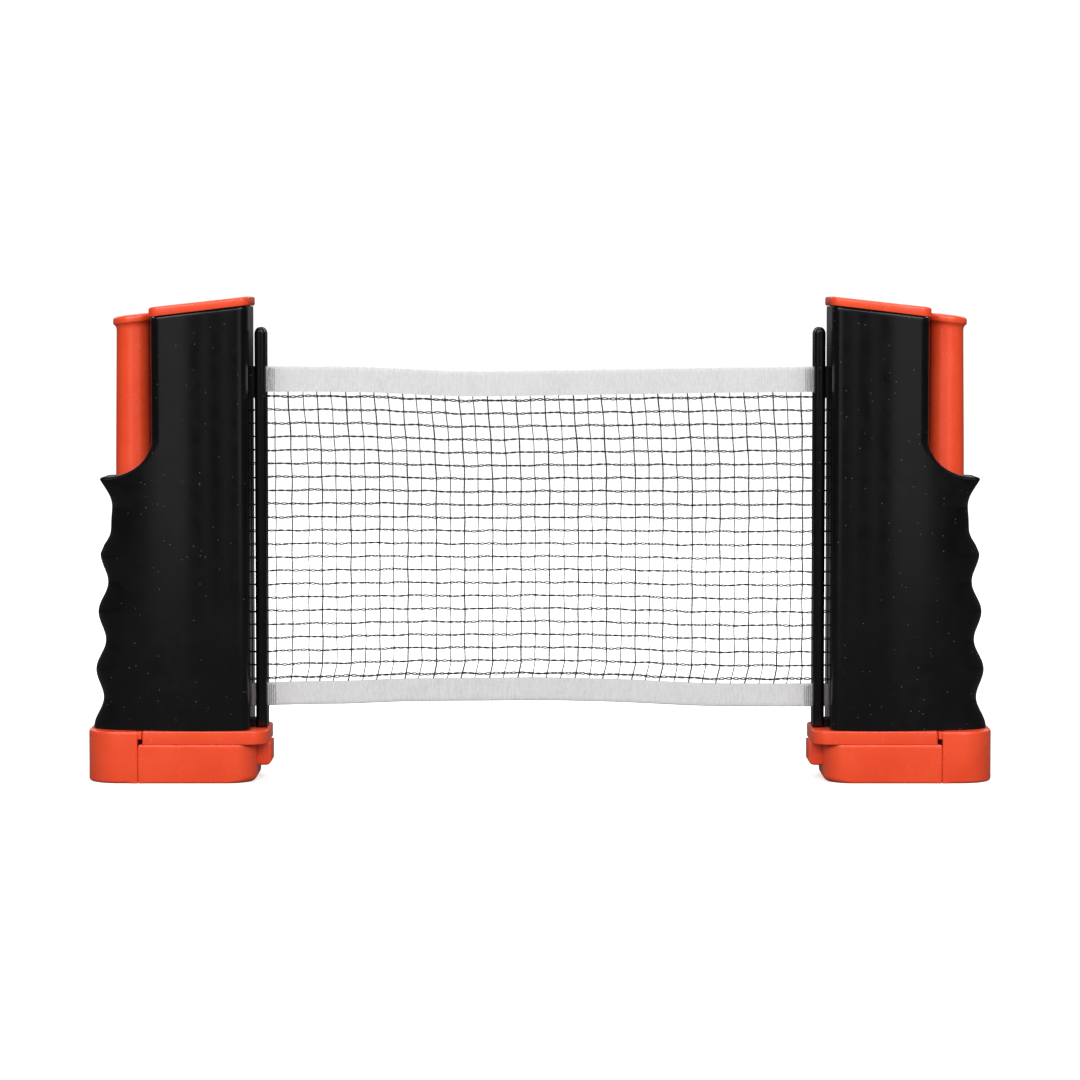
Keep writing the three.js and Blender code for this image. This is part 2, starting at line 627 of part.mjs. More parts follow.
function jawLeg() {
  const leg = box(legInner, legOuter, -LEG_HALF_DEPTH, LEG_HALF_DEPTH, legFootBottom, legHeadBottom + 1);
  const head = box(plungerX - PLUNGER_BORE, legOuter, -PLUNGER_RADIUS, PLUNGER_RADIUS,
    legHeadBottom, legHeadTop);
  const spigot = upright(PLUNGER_BORE - GAP, plungerX, legHeadTop - 1, spigotTop);
  const crossHole = crosswise(SCREW_RADIUS + GAP, plungerX, legHeadTop + 5.5, -20, 20, 6);
  const footHole = upright(SCREW_RADIUS + GAP, (legInner + legOuter) / 2, 0, legFootBottom + 14, 8);
  return leg.add(head).add(spigot).subtract(crossHole).subtract(footHole);
}

function legScrew() {
  const x = (legInner + legOuter) / 2;
  return turned([
    [0, 1],
    [SCREW_HEAD_RADIUS, 1],
    [SCREW_HEAD_RADIUS, 1 + SCREW_HEAD_HEIGHT],
    [SCREW_RADIUS, 1 + SCREW_HEAD_HEIGHT],
    [SCREW_RADIUS, legFootBottom + 11],
    [0, legFootBottom + 12],
  ], x, 8);
}

function lowerJaw() {
  const edge = 2.6;
  const jawOutline = [
    new THREE.Vector2(LOWER_JAW_SETBACK + edge, 0),
    new THREE.Vector2(webInner + 1, 0),
    new THREE.Vector2(webInner + 1, lowerJawTop),
    new THREE.Vector2(LOWER_JAW_SETBACK, lowerJawTop),
    new THREE.Vector2(LOWER_JAW_SETBACK, edge),
    new THREE.Vector2(LOWER_JAW_SETBACK + edge * 0.3, edge * 0.3),
  ];
  const jaw = across(jawOutline, JAW_HALF_DEPTH + 5)
    .intersect(risen(roundedRectangle(LOWER_JAW_SETBACK, webOuter, JAW_HALF_DEPTH, 10, 14),
      -5, upperJawTop + 5));
  const web = risen(roundedRectangle(webInner, webOuter, JAW_HALF_DEPTH, 0.4, 14), 0, upperJawTop);
  const lip = box(webInner - THROAT_SLIT + GAP, webInner + 1, -JAW_HALF_DEPTH + 1, JAW_HALF_DEPTH - 1,
    upperJawTop - 3.1, upperJawTop);
  const noseBottom = lowerJawTop - NOSE_HEIGHT;
  const noseOutline = [
    new THREE.Vector2(-NOSE_REACH + 1.6, noseBottom),
    new THREE.Vector2(LOWER_JAW_SETBACK + 4, noseBottom),
    new THREE.Vector2(LOWER_JAW_SETBACK + 4, lowerJawTop),
    new THREE.Vector2(-NOSE_REACH, lowerJawTop),
    new THREE.Vector2(-NOSE_REACH, noseBottom + 1.6),
    new THREE.Vector2(-NOSE_REACH + 0.5, noseBottom + 0.5),
  ];
  const nose = across(noseOutline, NOSE_HALF_DEPTH);
  const pocketX0 = LOWER_JAW_SETBACK + 2 * WALL + 3;
  const pocketX1 = webInner - WALL;
  const ribX = (pocketX0 + pocketX1) / 2;
  const ceiling = lowerPadBottom - GAP - WALL;
  const socket = box(legInner - GAP, legOuter + GAP, -LEG_HALF_DEPTH - GAP, LEG_HALF_DEPTH + GAP,
    legFootBottom - GAP, upperJawTop + 5);
  const screwX = (legInner + legOuter) / 2;
  let base = jaw.add(web).add(lip).add(nose).subtract(padRecess(lowerPadBottom)).subtract(socket);
  for (const [x0, x1] of [[pocketX0, ribX - 1], [ribX + 1, pocketX1]]) {
    for (const [y0, y1] of [[1 - JAW_HALF_DEPTH + WALL, -1], [1, JAW_HALF_DEPTH - WALL - 1]]) {
      base = base.subtract(box(x0, x1, y0, y1, -5, ceiling));
    }
  }
  base = base.subtract(box(legOuter + GAP + WALL, webOuter - WALL, -10, 10, -5, upperJawTop - WALL));
  for (const side of [-1, 1]) {
    const y = side * JAW_HALF_DEPTH;
    base = base.subtract(box(webInner - 0.25, webInner + 0.25, y - 0.6, y + 0.6, -1, 14));
  }
  return base.subtract(upright(SCREW_RADIUS + GAP, screwX, -5, legFootBottom + 1, 8))
    .subtract(upright(SCREW_HEAD_RADIUS + GAP, screwX, -5, 1 + SCREW_HEAD_HEIGHT + GAP, 12));
}

function springSeat() {
  return upright(PLUNGER_BORE - GAP, plungerX, seatTop + GAP, seatTop + GAP + 1.5);
}

class Helix extends THREE.Curve {
  constructor(radius, length, turns) {
    super();
    this.radius = radius;
    this.length = length;
    this.turns = turns;
  }

  getPoint(t, target = new THREE.Vector3()) {
    const angle = 2 * Math.PI * this.turns * t;
    return target.set(this.radius * Math.cos(angle), this.radius * Math.sin(angle), this.length * t);
  }
}

function clampSpring() {
  const bottom = seatTop + GAP + 1.5 + GAP + SPRING_WIRE;
  const top = boreTop - GAP - SPRING_WIRE;
  const section = new THREE.Shape();
  section.absarc(0, 0, SPRING_WIRE, 0, 2 * Math.PI, false);
  const wire = new THREE.Shape(section.getPoints(2).slice(0, -1));
  const geometry = new THREE.ExtrudeGeometry(wire, {
    steps: SPRING_COILS * 9,
    extrudePath: new Helix(PLUNGER_BORE - 2 * GAP - SPRING_WIRE, top - bottom, SPRING_COILS),
  });
  geometry.translate(plungerX, 0, bottom);
  return toSolid(geometry);
}

// ---------------------------------------------------------------- reel

function reelCore() {
  return turned([
    [AXLE_RADIUS + GAP, reelBottom],
    [flangeRadius, reelBottom],
    [flangeRadius, reelBottom + FLANGE_THICKNESS],
    [CORE_RADIUS, reelBottom + FLANGE_THICKNESS],
    [CORE_RADIUS, reelTop - FLANGE_THICKNESS],
    [flangeRadius, reelTop - FLANGE_THICKNESS],
    [flangeRadius, reelTop],
    [AXLE_RADIUS + GAP, reelTop],
    [AXLE_RADIUS + GAP, reelTop - HUB_LENGTH],
    [CORE_BORE, reelTop - HUB_LENGTH],
    [CORE_BORE, reelBottom + HUB_LENGTH],
    [AXLE_RADIUS + GAP, reelBottom + HUB_LENGTH],
    [AXLE_RADIUS + GAP, reelBottom],
  ], reelX);
}

function reelAxle() {
  return upright(AXLE_RADIUS, reelX, plugTop - BUSH_HEIGHT + 0.6, cupPlateTop + 3, 16);
}

function axleBush() {
  const bottom = plugTop - BUSH_HEIGHT;
  return turned([
    [AXLE_RADIUS + GAP, bottom],
    [BUSH_RADIUS, bottom],
    [BUSH_RADIUS, plugTop - 0.2],
    [AXLE_RADIUS + GAP, plugTop - 0.2],
    [AXLE_RADIUS + GAP, bottom],
  ], reelX, 20);
}

function netRoll() {
  return turned([
    [CORE_RADIUS + GAP, netBottom],
    [rollRadius, netBottom],
    [rollRadius, netTop],
    [CORE_RADIUS + GAP, netTop],
    [CORE_RADIUS + GAP, netBottom],
  ], reelX, 24);
}

function springCup() {
  const plate = risen(chamberPlan(WALL + GAP), cupTop, cupPlateTop);
  const wall = upright(cupRadius, reelX, cupBottom, cupTop + 0.5);
  const room = upright(cupRadius - CUP_WALL, reelX, cupBottom - 1, cupTop);
  const hole = upright(AXLE_RADIUS + GAP, reelX, cupBottom - 1, cupPlateTop + 1, 16);
  return plate.add(wall).subtract(room).subtract(hole);
}

// A flat spiral spring between the axle and the wall of its cup.
function returnSpring() {
  const inner = AXLE_RADIUS + GAP;
  const outer = cupRadius - CUP_WALL - GAP - RETURN_SPRING_STRIP;
  const steps = RETURN_SPRING_TURNS * 12;
  const edge = (offset) => {
    const points = [];
    for (let i = 0; i <= steps; i += 1) {
      const angle = (2 * Math.PI * RETURN_SPRING_TURNS * i) / steps;
      const radius = inner + ((outer - inner) * i) / steps + offset;
      points.push(new THREE.Vector2(reelX + radius * Math.cos(angle), radius * Math.sin(angle)));
    }
    return points;
  };
  const outline = edge(RETURN_SPRING_STRIP).concat(edge(0).reverse());
  return risen(outline, cupBottom + 1, cupTop - 0.8);
}

// ---------------------------------------------------------------- assembly

function mesh(name, solid, finish) {
  const material = new THREE.MeshStandardMaterial(FINISH[finish]);
  const piece = new THREE.Mesh(toGeometry(solid), material);
  piece.name = name;
  return piece;
}

// One post. Outwards is +x, and a mirrored group turns it into the other hand.
function post(hand) {
  const group = new THREE.Group();
  const add = (name, solid, finish) => group.add(mesh(`${hand}_${name}`, solid, finish));
  const { front, back } = shells();
  add('front_shell', front, 'black');
  add('back_shell', back, 'black');
  add('top_cap', topCap(), 'orange');
  add('upper_jaw', upperJaw(), 'orange');
  add('upper_jaw_pad', padSolid(upperPadBottom), 'rubber');
  add('guide_bar_front', guideBar(-1), 'black');
  add('guide_bar_back', guideBar(1), 'black');
  SHELL_SCREWS.forEach(([x, z], i) => add(`shell_screw_${i + 1}`, shellScrew(x, z), 'steel'));
  add('plunger', plunger(), 'orange');
  add('plunger_screw', plungerScrew(), 'steel');
  add('jaw_leg', jawLeg(), 'orange');
  add('leg_screw', legScrew(), 'steel');
  add('lower_jaw', lowerJaw(), 'orange');
  add('lower_jaw_pad', padSolid(lowerPadBottom), 'rubber');
  add('spring_seat', springSeat(), 'steel');
  add('clamp_spring', clampSpring(), 'steel');
  add('reel_core', reelCore(), 'grey');
  add('reel_axle', reelAxle(), 'steel');
  add('axle_bush', axleBush(), 'grey');
  add('net_roll', netRoll(), 'mesh');
  add('spring_cup', springCup(), 'grey');
  add('return_spring', returnSpring(), 'steel');
  return group;
}

// The open net, which runs on through the guide bars up to the rolls in both posts.
function net() {
  const group = new THREE.Group();
  const reach = NET_SPAN / 2 + reelX - rollRadius - GAP;
  const strip = (name, thickness, z0, z1, finish) => {
    group.add(mesh(name, box(-reach, reach, -thickness / 2, thickness / 2, z0, z1), finish));
  };
  const meshBottom = netBottom + BOTTOM_TAPE_HEIGHT;
  const meshTop = netTop - TOP_TAPE_HEIGHT;
  strip('net_mesh', MESH_THICKNESS, meshBottom + GAP, meshTop - GAP, 'mesh');
  strip('net_top_tape', TAPE_THICKNESS, meshTop, netTop, 'tape');
  strip('net_bottom_tape', TAPE_THICKNESS, netBottom, meshBottom, 'tape');
  return group;
}

const netSet = new THREE.Group();

const rightPost = post('right');
rightPost.position.x = NET_SPAN / 2;
netSet.add(rightPost);

const leftPost = post('left');
leftPost.position.x = -NET_SPAN / 2;
leftPost.scale.x = -1;
netSet.add(leftPost);

netSet.add(net());

export default netSet;
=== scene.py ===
import math
import random

import bmesh
import bpy
import numpy as np
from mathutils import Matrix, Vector


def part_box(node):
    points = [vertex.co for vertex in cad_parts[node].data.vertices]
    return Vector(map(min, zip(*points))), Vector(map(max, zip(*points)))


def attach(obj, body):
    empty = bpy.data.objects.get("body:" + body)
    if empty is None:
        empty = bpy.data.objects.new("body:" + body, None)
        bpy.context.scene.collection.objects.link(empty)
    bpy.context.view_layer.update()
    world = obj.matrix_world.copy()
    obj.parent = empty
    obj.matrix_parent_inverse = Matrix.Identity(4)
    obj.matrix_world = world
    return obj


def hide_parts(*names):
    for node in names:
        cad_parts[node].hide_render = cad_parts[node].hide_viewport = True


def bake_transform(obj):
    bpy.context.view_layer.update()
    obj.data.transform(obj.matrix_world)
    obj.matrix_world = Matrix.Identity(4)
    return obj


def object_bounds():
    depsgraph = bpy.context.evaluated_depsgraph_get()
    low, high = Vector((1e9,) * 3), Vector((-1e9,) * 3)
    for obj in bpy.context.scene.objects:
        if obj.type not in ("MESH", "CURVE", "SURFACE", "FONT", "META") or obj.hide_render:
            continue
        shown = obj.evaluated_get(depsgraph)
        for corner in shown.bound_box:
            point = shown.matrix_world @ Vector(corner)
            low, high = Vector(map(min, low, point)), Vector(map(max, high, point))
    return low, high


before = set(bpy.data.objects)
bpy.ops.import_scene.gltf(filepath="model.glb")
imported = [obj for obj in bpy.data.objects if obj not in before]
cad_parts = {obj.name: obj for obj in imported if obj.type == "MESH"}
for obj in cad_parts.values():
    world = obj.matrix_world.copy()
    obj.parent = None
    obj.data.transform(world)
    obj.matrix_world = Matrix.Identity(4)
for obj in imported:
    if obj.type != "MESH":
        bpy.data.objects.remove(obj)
cad_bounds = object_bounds()

# A post is drawn in its own frame, in millimetres: s runs outwards from the face of the guide bars
# that looks at the net, y = 0 is the plane of the net, z = 0 the floor.
MM = 0.001
HANDS = {"left": -1, "right": 1}
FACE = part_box("right_guide_bar_front")[0].x / MM


def span(node, axis):
    """Lowest and highest value of a right-hand CAD node along s, y or z, in millimetres."""
    low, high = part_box(node)
    i = "syz".index(axis)
    shift = FACE if axis == "s" else 0
    return low[i] / MM - shift, high[i] / MM - shift


# ---------------- places taken from the frame

CHAMBER = (6.5, 46.4)
CHAMBER_HALF_DEPTH = 20
CHAMBER_CROWN = 2.5             # how far the chamber's face bulges past its own edges
CHAMBER_CORNER = 4.0
SHELL_WALL = 2.2
SHELL_Z0 = span("right_front_shell", "z")[0]
NET_Z0, NET_Z1 = span("right_net_roll", "z")
TOP_TAPE = span("net_top_tape", "z")
BOTTOM_TAPE = span("net_bottom_tape", "z")
NET_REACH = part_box("net_top_tape")[1].x / MM
UPPER_JAW = (-1.0, 50.1)
UPPER_JAW_Z = (15.88, 21.3)
JAW_HALF_DEPTH = span("right_upper_jaw", "y")[1]
LOWER_JAW = span("right_lower_jaw", "s")
WEB_TOP = span("right_lower_jaw", "z")[1]
WEB_S0 = 51.9                   # where the lower jaw ends and its web begins
JAW_TOP = 15.8
LEG_SCREW_S = 59
PLUNGER_S = 54.2
PLUNGER_Z0 = span("right_plunger", "z")[0]
PLUNGER_SCREW_Z = 89.5
BUTTON_HOLE = 8.35              # radius of the opening that the push button goes through
GRIP_TOP = 139.2
SPUR_Z = 123.7
ROOF = (189.8, 194.6)           # at the chamber's outer and inner side
ROOF_SLOPE = (ROOF[0] - ROOF[1]) / (CHAMBER[1] - CHAMBER[0])
ROOF_RIM = 0.8                  # height of the rounded rim under the cap
FINGERS = (21.9, 93.3)          # lowest and highest finger peak
FINGER_DEPTH = 3.7
SEAM = 0.15                     # from the net's plane to the edge of a shell half
NET_MOUTH = 2.7                 # the same where the net comes out
GUIDE_WEBS = ((SHELL_Z0 + 0.3, SHELL_Z0 + 3.5), (157, 170))     # where the bars join the shell


# ---------------- mesh helpers

def to_row(hand, points):
    sign = HANDS[hand]
    return [(sign * (FACE + s) * MM, y * MM, z * MM) for s, y, z in points]


def new_object(name, verts, faces):
    mesh = bpy.data.meshes.new(name)
    mesh.from_pydata([tuple(v) for v in verts], [], [tuple(f) for f in faces])
    mesh.update()
    obj = bpy.data.objects.new(name, mesh)
    bpy.context.scene.collection.objects.link(obj)
    return obj


def tidy_normals(obj, angle=35):
    bm = bmesh.new()
    bm.from_mesh(obj.data)
    bmesh.ops.recalc_face_normals(bm, faces=bm.faces)
    bm.to_mesh(obj.data)
    bm.free()
    obj.data.shade_smooth()
    obj.data.set_sharp_from_angle(angle=math.radians(angle))


def applied(obj):
    """Replaces obj's mesh with what its modifiers make of it."""
    bpy.context.view_layer.update()
    graph = bpy.context.evaluated_depsgraph_get()
    mesh = bpy.data.meshes.new_from_object(obj.evaluated_get(graph))
    obj.modifiers.clear()
    old = obj.data
    obj.data = mesh
    bpy.data.meshes.remove(old)


def cut(obj, cutters, operation="DIFFERENCE"):
    """Takes the cutters away from obj, or joins them on with UNION, and deletes them."""
    for tool in cutters:
        modifier = obj.modifiers.new("cut", "BOOLEAN")
        modifier.operation = operation
        modifier.solver = "EXACT"
        modifier.object = tool
    applied(obj)
    for tool in cutters:
        bpy.data.objects.remove(tool)


def inset(outline, depths):
    """Moves each corner of a counterclockwise outline inwards by its own depth."""
    count = len(outline)
    moved = []
    for i, (u, v) in enumerate(outline):
        before = Vector(outline[i - 1])
        after = Vector(outline[(i + 1) % count])
        here = Vector((u, v))
        one = (here - before).normalized()
        two = (after - here).normalized()
        normal = Vector((-one.y - two.y, one.x + two.x))
        length = normal.length
        normal = normal / length * (2 / length)
        moved.append(tuple(here + normal * depths[i]))
    return moved


def stack_faces(ring_count, count):
    """Faces of the skin over a stack of rings with count points each, closed at both ends."""
    faces = []
    for j in range(ring_count - 1):
        for i in range(count):
            k = (i + 1) % count
            faces.append((j * count + i, j * count + k, (j + 1) * count + k, (j + 1) * count + i))
    faces.append(tuple(range(count)))
    faces.append(tuple((ring_count - 1) * count + i for i in range(count)))
    return faces


def slab(outline, low, high, at, r_low=0.5, r_high=0.5, steps=4, lean=0.0):
    """A closed plate: an outline swept from low to high, with its two rims rounded. lean is how far
    a narrow band under the upper rim falls back. at(u, v, w) turns the outline's place and the
    height into s, y, z."""
    count = len(outline)
    r_low = [r_low] * count if isinstance(r_low, (int, float)) else list(r_low)
    r_high = [r_high] * count if isinstance(r_high, (int, float)) else list(r_high)
    rings = []
    for i in range(steps + 1):
        a = i / steps * math.pi / 2
        ring = inset(outline, [r * (1 - math.sin(a)) for r in r_low])
        rings.append([at(u, v, low + r * (1 - math.cos(a))) for (u, v), r in zip(ring, r_low)])
    if lean:
        for back, under in ((0.0, 0.68), (0.06, 0.52)):
            ring = inset(outline, [lean * back] * count)
            rings.append([at(u, v, high - r - under) for (u, v), r in zip(ring, r_high)])
    for i in range(steps + 1):
        a = (1 - i / steps) * math.pi / 2
        ring = inset(outline, [lean + r * (1 - math.sin(a)) for r in r_high])
        rings.append([at(u, v, high - r * (1 - math.cos(a))) for (u, v), r in zip(ring, r_high)])
    return [point for ring in rings for point in ring], stack_faces(len(rings), count)


def block(name, hand, outline, low, high, at, **rounding):
    points, faces = slab(outline, low, high, at, **rounding)
    obj = new_object(name, to_row(hand, points), faces)
    tidy_normals(obj)
    return obj


def upwards(u, v, w):
    return u, v, w


def across(u, v, w):
    return u, w, v


def rounded_rectangle(u0, u1, half, r0, r1, steps=8):
    """Counterclockwise, with corner radius r0 at u0 and r1 at u1."""
    points = []
    corners = [(u0 + r0, -half + r0, r0, 180), (u1 - r1, -half + r1, r1, 270),
               (u1 - r1, half - r1, r1, 0), (u0 + r0, half - r0, r0, 90)]
    for u, v, radius, start in corners:
        for i in range(steps + 1):
            a = math.radians(start + 90 * i / steps)
            points.append((u + radius * math.cos(a), v + radius * math.sin(a)))
    return points


def thinned(outline, gap):
    """The outline without the corners that lie no further than gap from the one kept before."""
    kept = []
    for u, v in outline:
        if not kept or math.hypot(u - kept[-1][0], v - kept[-1][1]) > gap:
            kept.append((u, v))
    return kept


def divided(outline, step):
    """The outline with its long edges divided, so that a rim's radius can change along them."""
    points = []
    for i, (u, v) in enumerate(outline):
        to_u, to_v = outline[(i + 1) % len(outline)]
        count = max(1, math.ceil(math.hypot(to_u - u, to_v - v) / step))
        points += [(u + (to_u - u) * k / count, v + (to_v - v) * k / count) for k in range(count)]
    return points


def box_points(s0, s1, y0, y1, z0, z1):
    points = [(s, y, z) for s in (s0, s1) for y in (y0, y1) for z in (z0, z1)]
    faces = [(0, 1, 3, 2), (4, 6, 7, 5), (0, 4, 5, 1), (2, 3, 7, 6), (0, 2, 6, 4), (1, 5, 7, 3)]
    return points, faces


def cutter(hand, points, faces):
    obj = new_object("cutter", to_row(hand, points), faces)
    tidy_normals(obj)
    return obj


def cutter_box(hand, *sides):
    return cutter(hand, *box_points(*sides))


def turned_points(profile, segments, place):
    """A closed solid of revolution. profile runs from axis to axis as (radius, height), and
    place(x, y, h) puts a point of it."""
    rings = len(profile) - 2
    points = [place(0, 0, profile[0][1])]
    for radius, height in profile[1:-1]:
        for i in range(segments):
            a = 2 * math.pi * i / segments
            points.append(place(radius * math.cos(a), radius * math.sin(a), height))
    points.append(place(0, 0, profile[-1][1]))
    faces = []
    for i in range(segments):
        k = (i + 1) % segments
        faces.append((0, 1 + k, 1 + i))
        for j in range(rings - 1):
            base = 1 + j * segments
            faces.append((base + i, base + k, base + segments + k, base + segments + i))
        base = 1 + (rings - 1) * segments
        faces.append((base + i, base + k, len(points) - 1))
    return points, faces


def round_cutter(hand, radius, low, high, segments, place):
    profile = [(0, low), (radius, low), (radius, high), (0, high)]
    return cutter(hand, *turned_points(profile, segments, place))


def finished(obj, body, material, node):
    obj.data.materials.clear()
    obj.data.materials.append(material)
    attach(obj, body)
    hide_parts(node)


# ---------------- materials

class Nodes:
    """A material's node tree, with short calls for what the finishes share."""

    def __init__(self, name):
        self.material = bpy.data.materials.new(name)
        self.material.use_nodes = True
        self.tree = self.material.node_tree
        self.shader = self.tree.nodes["Principled BSDF"]
        self.place = self.add("ShaderNodeTexCoord").outputs["Object"]

    def add(self, kind, **settings):
        node = self.tree.nodes.new(kind)
        for key, value in settings.items():
            setattr(node, key, value)
        return node

    def link(self, out, socket):
        self.tree.links.new(out, socket)

    def feed(self, socket, value):
        """Sets a socket to a number or a colour, or links it to an output."""
        if isinstance(value, tuple):
            socket.default_value = (*value, 1)
        elif isinstance(value, (int, float)):
            socket.default_value = value
        else:
            self.link(value, socket)

    def stretched(self, scale):
        node = self.add("ShaderNodeMapping")
        node.inputs["Scale"].default_value = scale
        self.link(self.place, node.inputs["Vector"])
        return node.outputs["Vector"]

    def noise(self, scale, detail=3.0, rough=0.5, vector=None):
        node = self.add("ShaderNodeTexNoise")
        node.inputs["Scale"].default_value = scale
        node.inputs["Detail"].default_value = detail
        node.inputs["Roughness"].default_value = rough
        self.link(self.place if vector is None else vector, node.inputs["Vector"])
        return node.outputs["Fac"]

    def cells(self, scale):
        node = self.add("ShaderNodeTexVoronoi")
        node.inputs["Scale"].default_value = scale
        self.link(self.place, node.inputs["Vector"])
        return node.outputs

    def ramp(self, value, stops):
        node = self.add("ShaderNodeValToRGB")
        node.color_ramp.elements[0].position = stops[0][0]
        node.color_ramp.elements[0].color = (*stops[0][1], 1)
        node.color_ramp.elements[1].position = stops[-1][0]
        node.color_ramp.elements[1].color = (*stops[-1][1], 1)
        for position, colour in stops[1:-1]:
            element = node.color_ramp.elements.new(position)
            element.color = (*colour, 1)
        self.link(value, node.inputs["Fac"])
        return node.outputs["Color"]

    def spread(self, value, low, high, start=0.3, end=0.7):
        node = self.add("ShaderNodeMapRange")
        for key, number in (("From Min", start), ("From Max", end), ("To Min", low), ("To Max", high)):
            node.inputs[key].default_value = number
        self.link(value, node.inputs["Value"])
        return node.outputs["Result"]

    def maths(self, operation, a, b):
        node = self.add("ShaderNodeMath", operation=operation)
        self.feed(node.inputs[0], a)
        self.feed(node.inputs[1], b)
        return node.outputs["Value"]

    def mix(self, factor, a, b):
        node = self.add("ShaderNodeMix", data_type="RGBA")
        self.link(factor, node.inputs["Factor"])
        self.feed(node.inputs[6], a)
        self.feed(node.inputs[7], b)
        return node.outputs[2]

    def bump(self, height, strength, distance):
        node = self.add("ShaderNodeBump")
        node.inputs["Strength"].default_value = strength
        node.inputs["Distance"].default_value = distance
        self.link(height, node.inputs["Height"])
        self.link(node.outputs["Normal"], self.shader.inputs["Normal"])

    def finish(self, colour, roughness, **sockets):
        self.link(colour, self.shader.inputs["Base Color"])
        self.feed(self.shader.inputs["Roughness"], roughness)
        for key, value in sockets.items():
            self.shader.inputs[key.replace("_", " ")].default_value = value
        return self.material


def moulded(name, dark, light, rough, speck, grain=0.25, **sockets):
    """Moulded plastic: a fine spark-eroded grain, slow changes of tone and gloss, a few specks."""
    n = Nodes(name)
    tone = n.ramp(n.noise(55, 4), [(0.35, dark), (0.65, light)])
    cells = n.cells(400)
    spots = n.maths("LESS_THAN", cells["Distance"], 0.085)
    apart = n.add("ShaderNodeSeparateColor")
    n.link(cells["Color"], apart.inputs["Color"])
    few = n.maths("GREATER_THAN", apart.outputs["Red"], 0.55)
    colour = n.mix(n.maths("MULTIPLY", spots, few), tone, speck)
    n.bump(n.noise(2600, 2), grain, 0.00006)
    return n.finish(colour, n.spread(n.noise(160, 5), rough - 0.05, rough + 0.05), **sockets)


def fabric_cord():
    """Dark nylon yarn: fibres that run along the twist."""
    n = Nodes("net_cord")
    fibres = n.noise(900, 3, 0.6)
    colour = n.ramp(fibres, [(0.3, (0.006, 0.006, 0.008)), (0.7, (0.03, 0.03, 0.034))])
    n.bump(fibres, 0.5, 0.00005)
    return n.finish(colour, 0.62, Sheen_Weight=0.25, Sheen_Roughness=0.4)


def fabric_tape():
    """Woven cotton binding: close upright ribs crossed by finer weft."""
    n = Nodes("net_tape")
    ribs = n.noise(1.0, 3, 0.6, n.stretched((2600, 400, 330)))
    weft = n.noise(1.0, 2, 0.5, n.stretched((700, 400, 2600)))
    cloudy = n.noise(90, 3)
    both = n.maths("ADD", n.maths("MULTIPLY", ribs, 0.6), n.maths("MULTIPLY", weft, 0.25))
    both = n.maths("ADD", both, n.maths("MULTIPLY", cloudy, 0.15))
    colour = n.ramp(both, [(0.36, (0.57, 0.57, 0.58)), (0.5, (0.66, 0.66, 0.67)),
                           (0.62, (0.71, 0.71, 0.71))])
    n.bump(both, 0.3, 0.00006)
    return n.finish(colour, 0.85, Sheen_Weight=0.15, Sheen_Roughness=0.5)


def fabric_thread():
    n = Nodes("stitch_thread")
    fibres = n.noise(2200, 2)
    colour = n.ramp(fibres, [(0.35, (0.05, 0.05, 0.055)), (0.65, (0.14, 0.14, 0.15))])
    n.bump(fibres, 0.4, 0.00004)
    return n.finish(colour, 0.8)


def metal():
    """Zinc-plated steel with a fine drawn grain."""
    n = Nodes("steel")
    drawn = n.noise(1.0, 3, 0.6, n.stretched((900, 900, 4200)))
    colour = n.ramp(drawn, [(0.3, (0.46, 0.47, 0.49)), (0.7, (0.68, 0.69, 0.70))])
    n.bump(drawn, 0.2, 0.00003)
    return n.finish(colour, n.spread(n.noise(400, 4), 0.22, 0.38), Metallic=1.0)


def rubber():
    """Pad rubber: matt, with a pebbled face."""
    n = Nodes("pad_rubber")
    colour = n.ramp(n.noise(300, 4), [(0.35, (0.012, 0.012, 0.012)), (0.65, (0.028, 0.028, 0.027))])
    n.bump(n.cells(1100)["Distance"], 0.5, 0.00012)
    return n.finish(colour, n.spread(n.noise(220, 4), 0.74, 0.9))


BLACK = moulded("black_plastic", (0.0030, 0.0030, 0.0036), (0.0042, 0.0042, 0.0050), 0.17,
                (0.10, 0.10, 0.11), 0.2, Specular_IOR_Level=0.26)
ORANGE = moulded("orange_plastic", (0.86, 0.072, 0.022), (0.91, 0.086, 0.028), 0.25,
                 (0.92, 0.20, 0.09), 0.12)
GREY = moulded("grey_plastic", (0.13, 0.14, 0.15), (0.16, 0.17, 0.18), 0.5, (0.22, 0.22, 0.23))
CORD = fabric_cord()
TAPE = fabric_tape()
THREAD = fabric_thread()
STEEL = metal()
RUBBER = rubber()


# ---------------- post shells

def catmull(points, steps):
    out = []
    padded = [points[0]] + points + [points[-1]]
    for i in range(len(points) - 1):
        p0, p1, p2, p3 = (np.array(p, float) for p in padded[i:i + 4])
        for k in range(steps):
            t = k / steps
            out.append(tuple(0.5 * (2 * p1 + (p2 - p0) * t + (2 * p0 - 5 * p1 + 4 * p2 - p3) * t ** 2
                                    + (3 * p1 - p0 - 3 * p2 + p3) * t ** 3)))
    out.append(tuple(points[-1]))
    return out


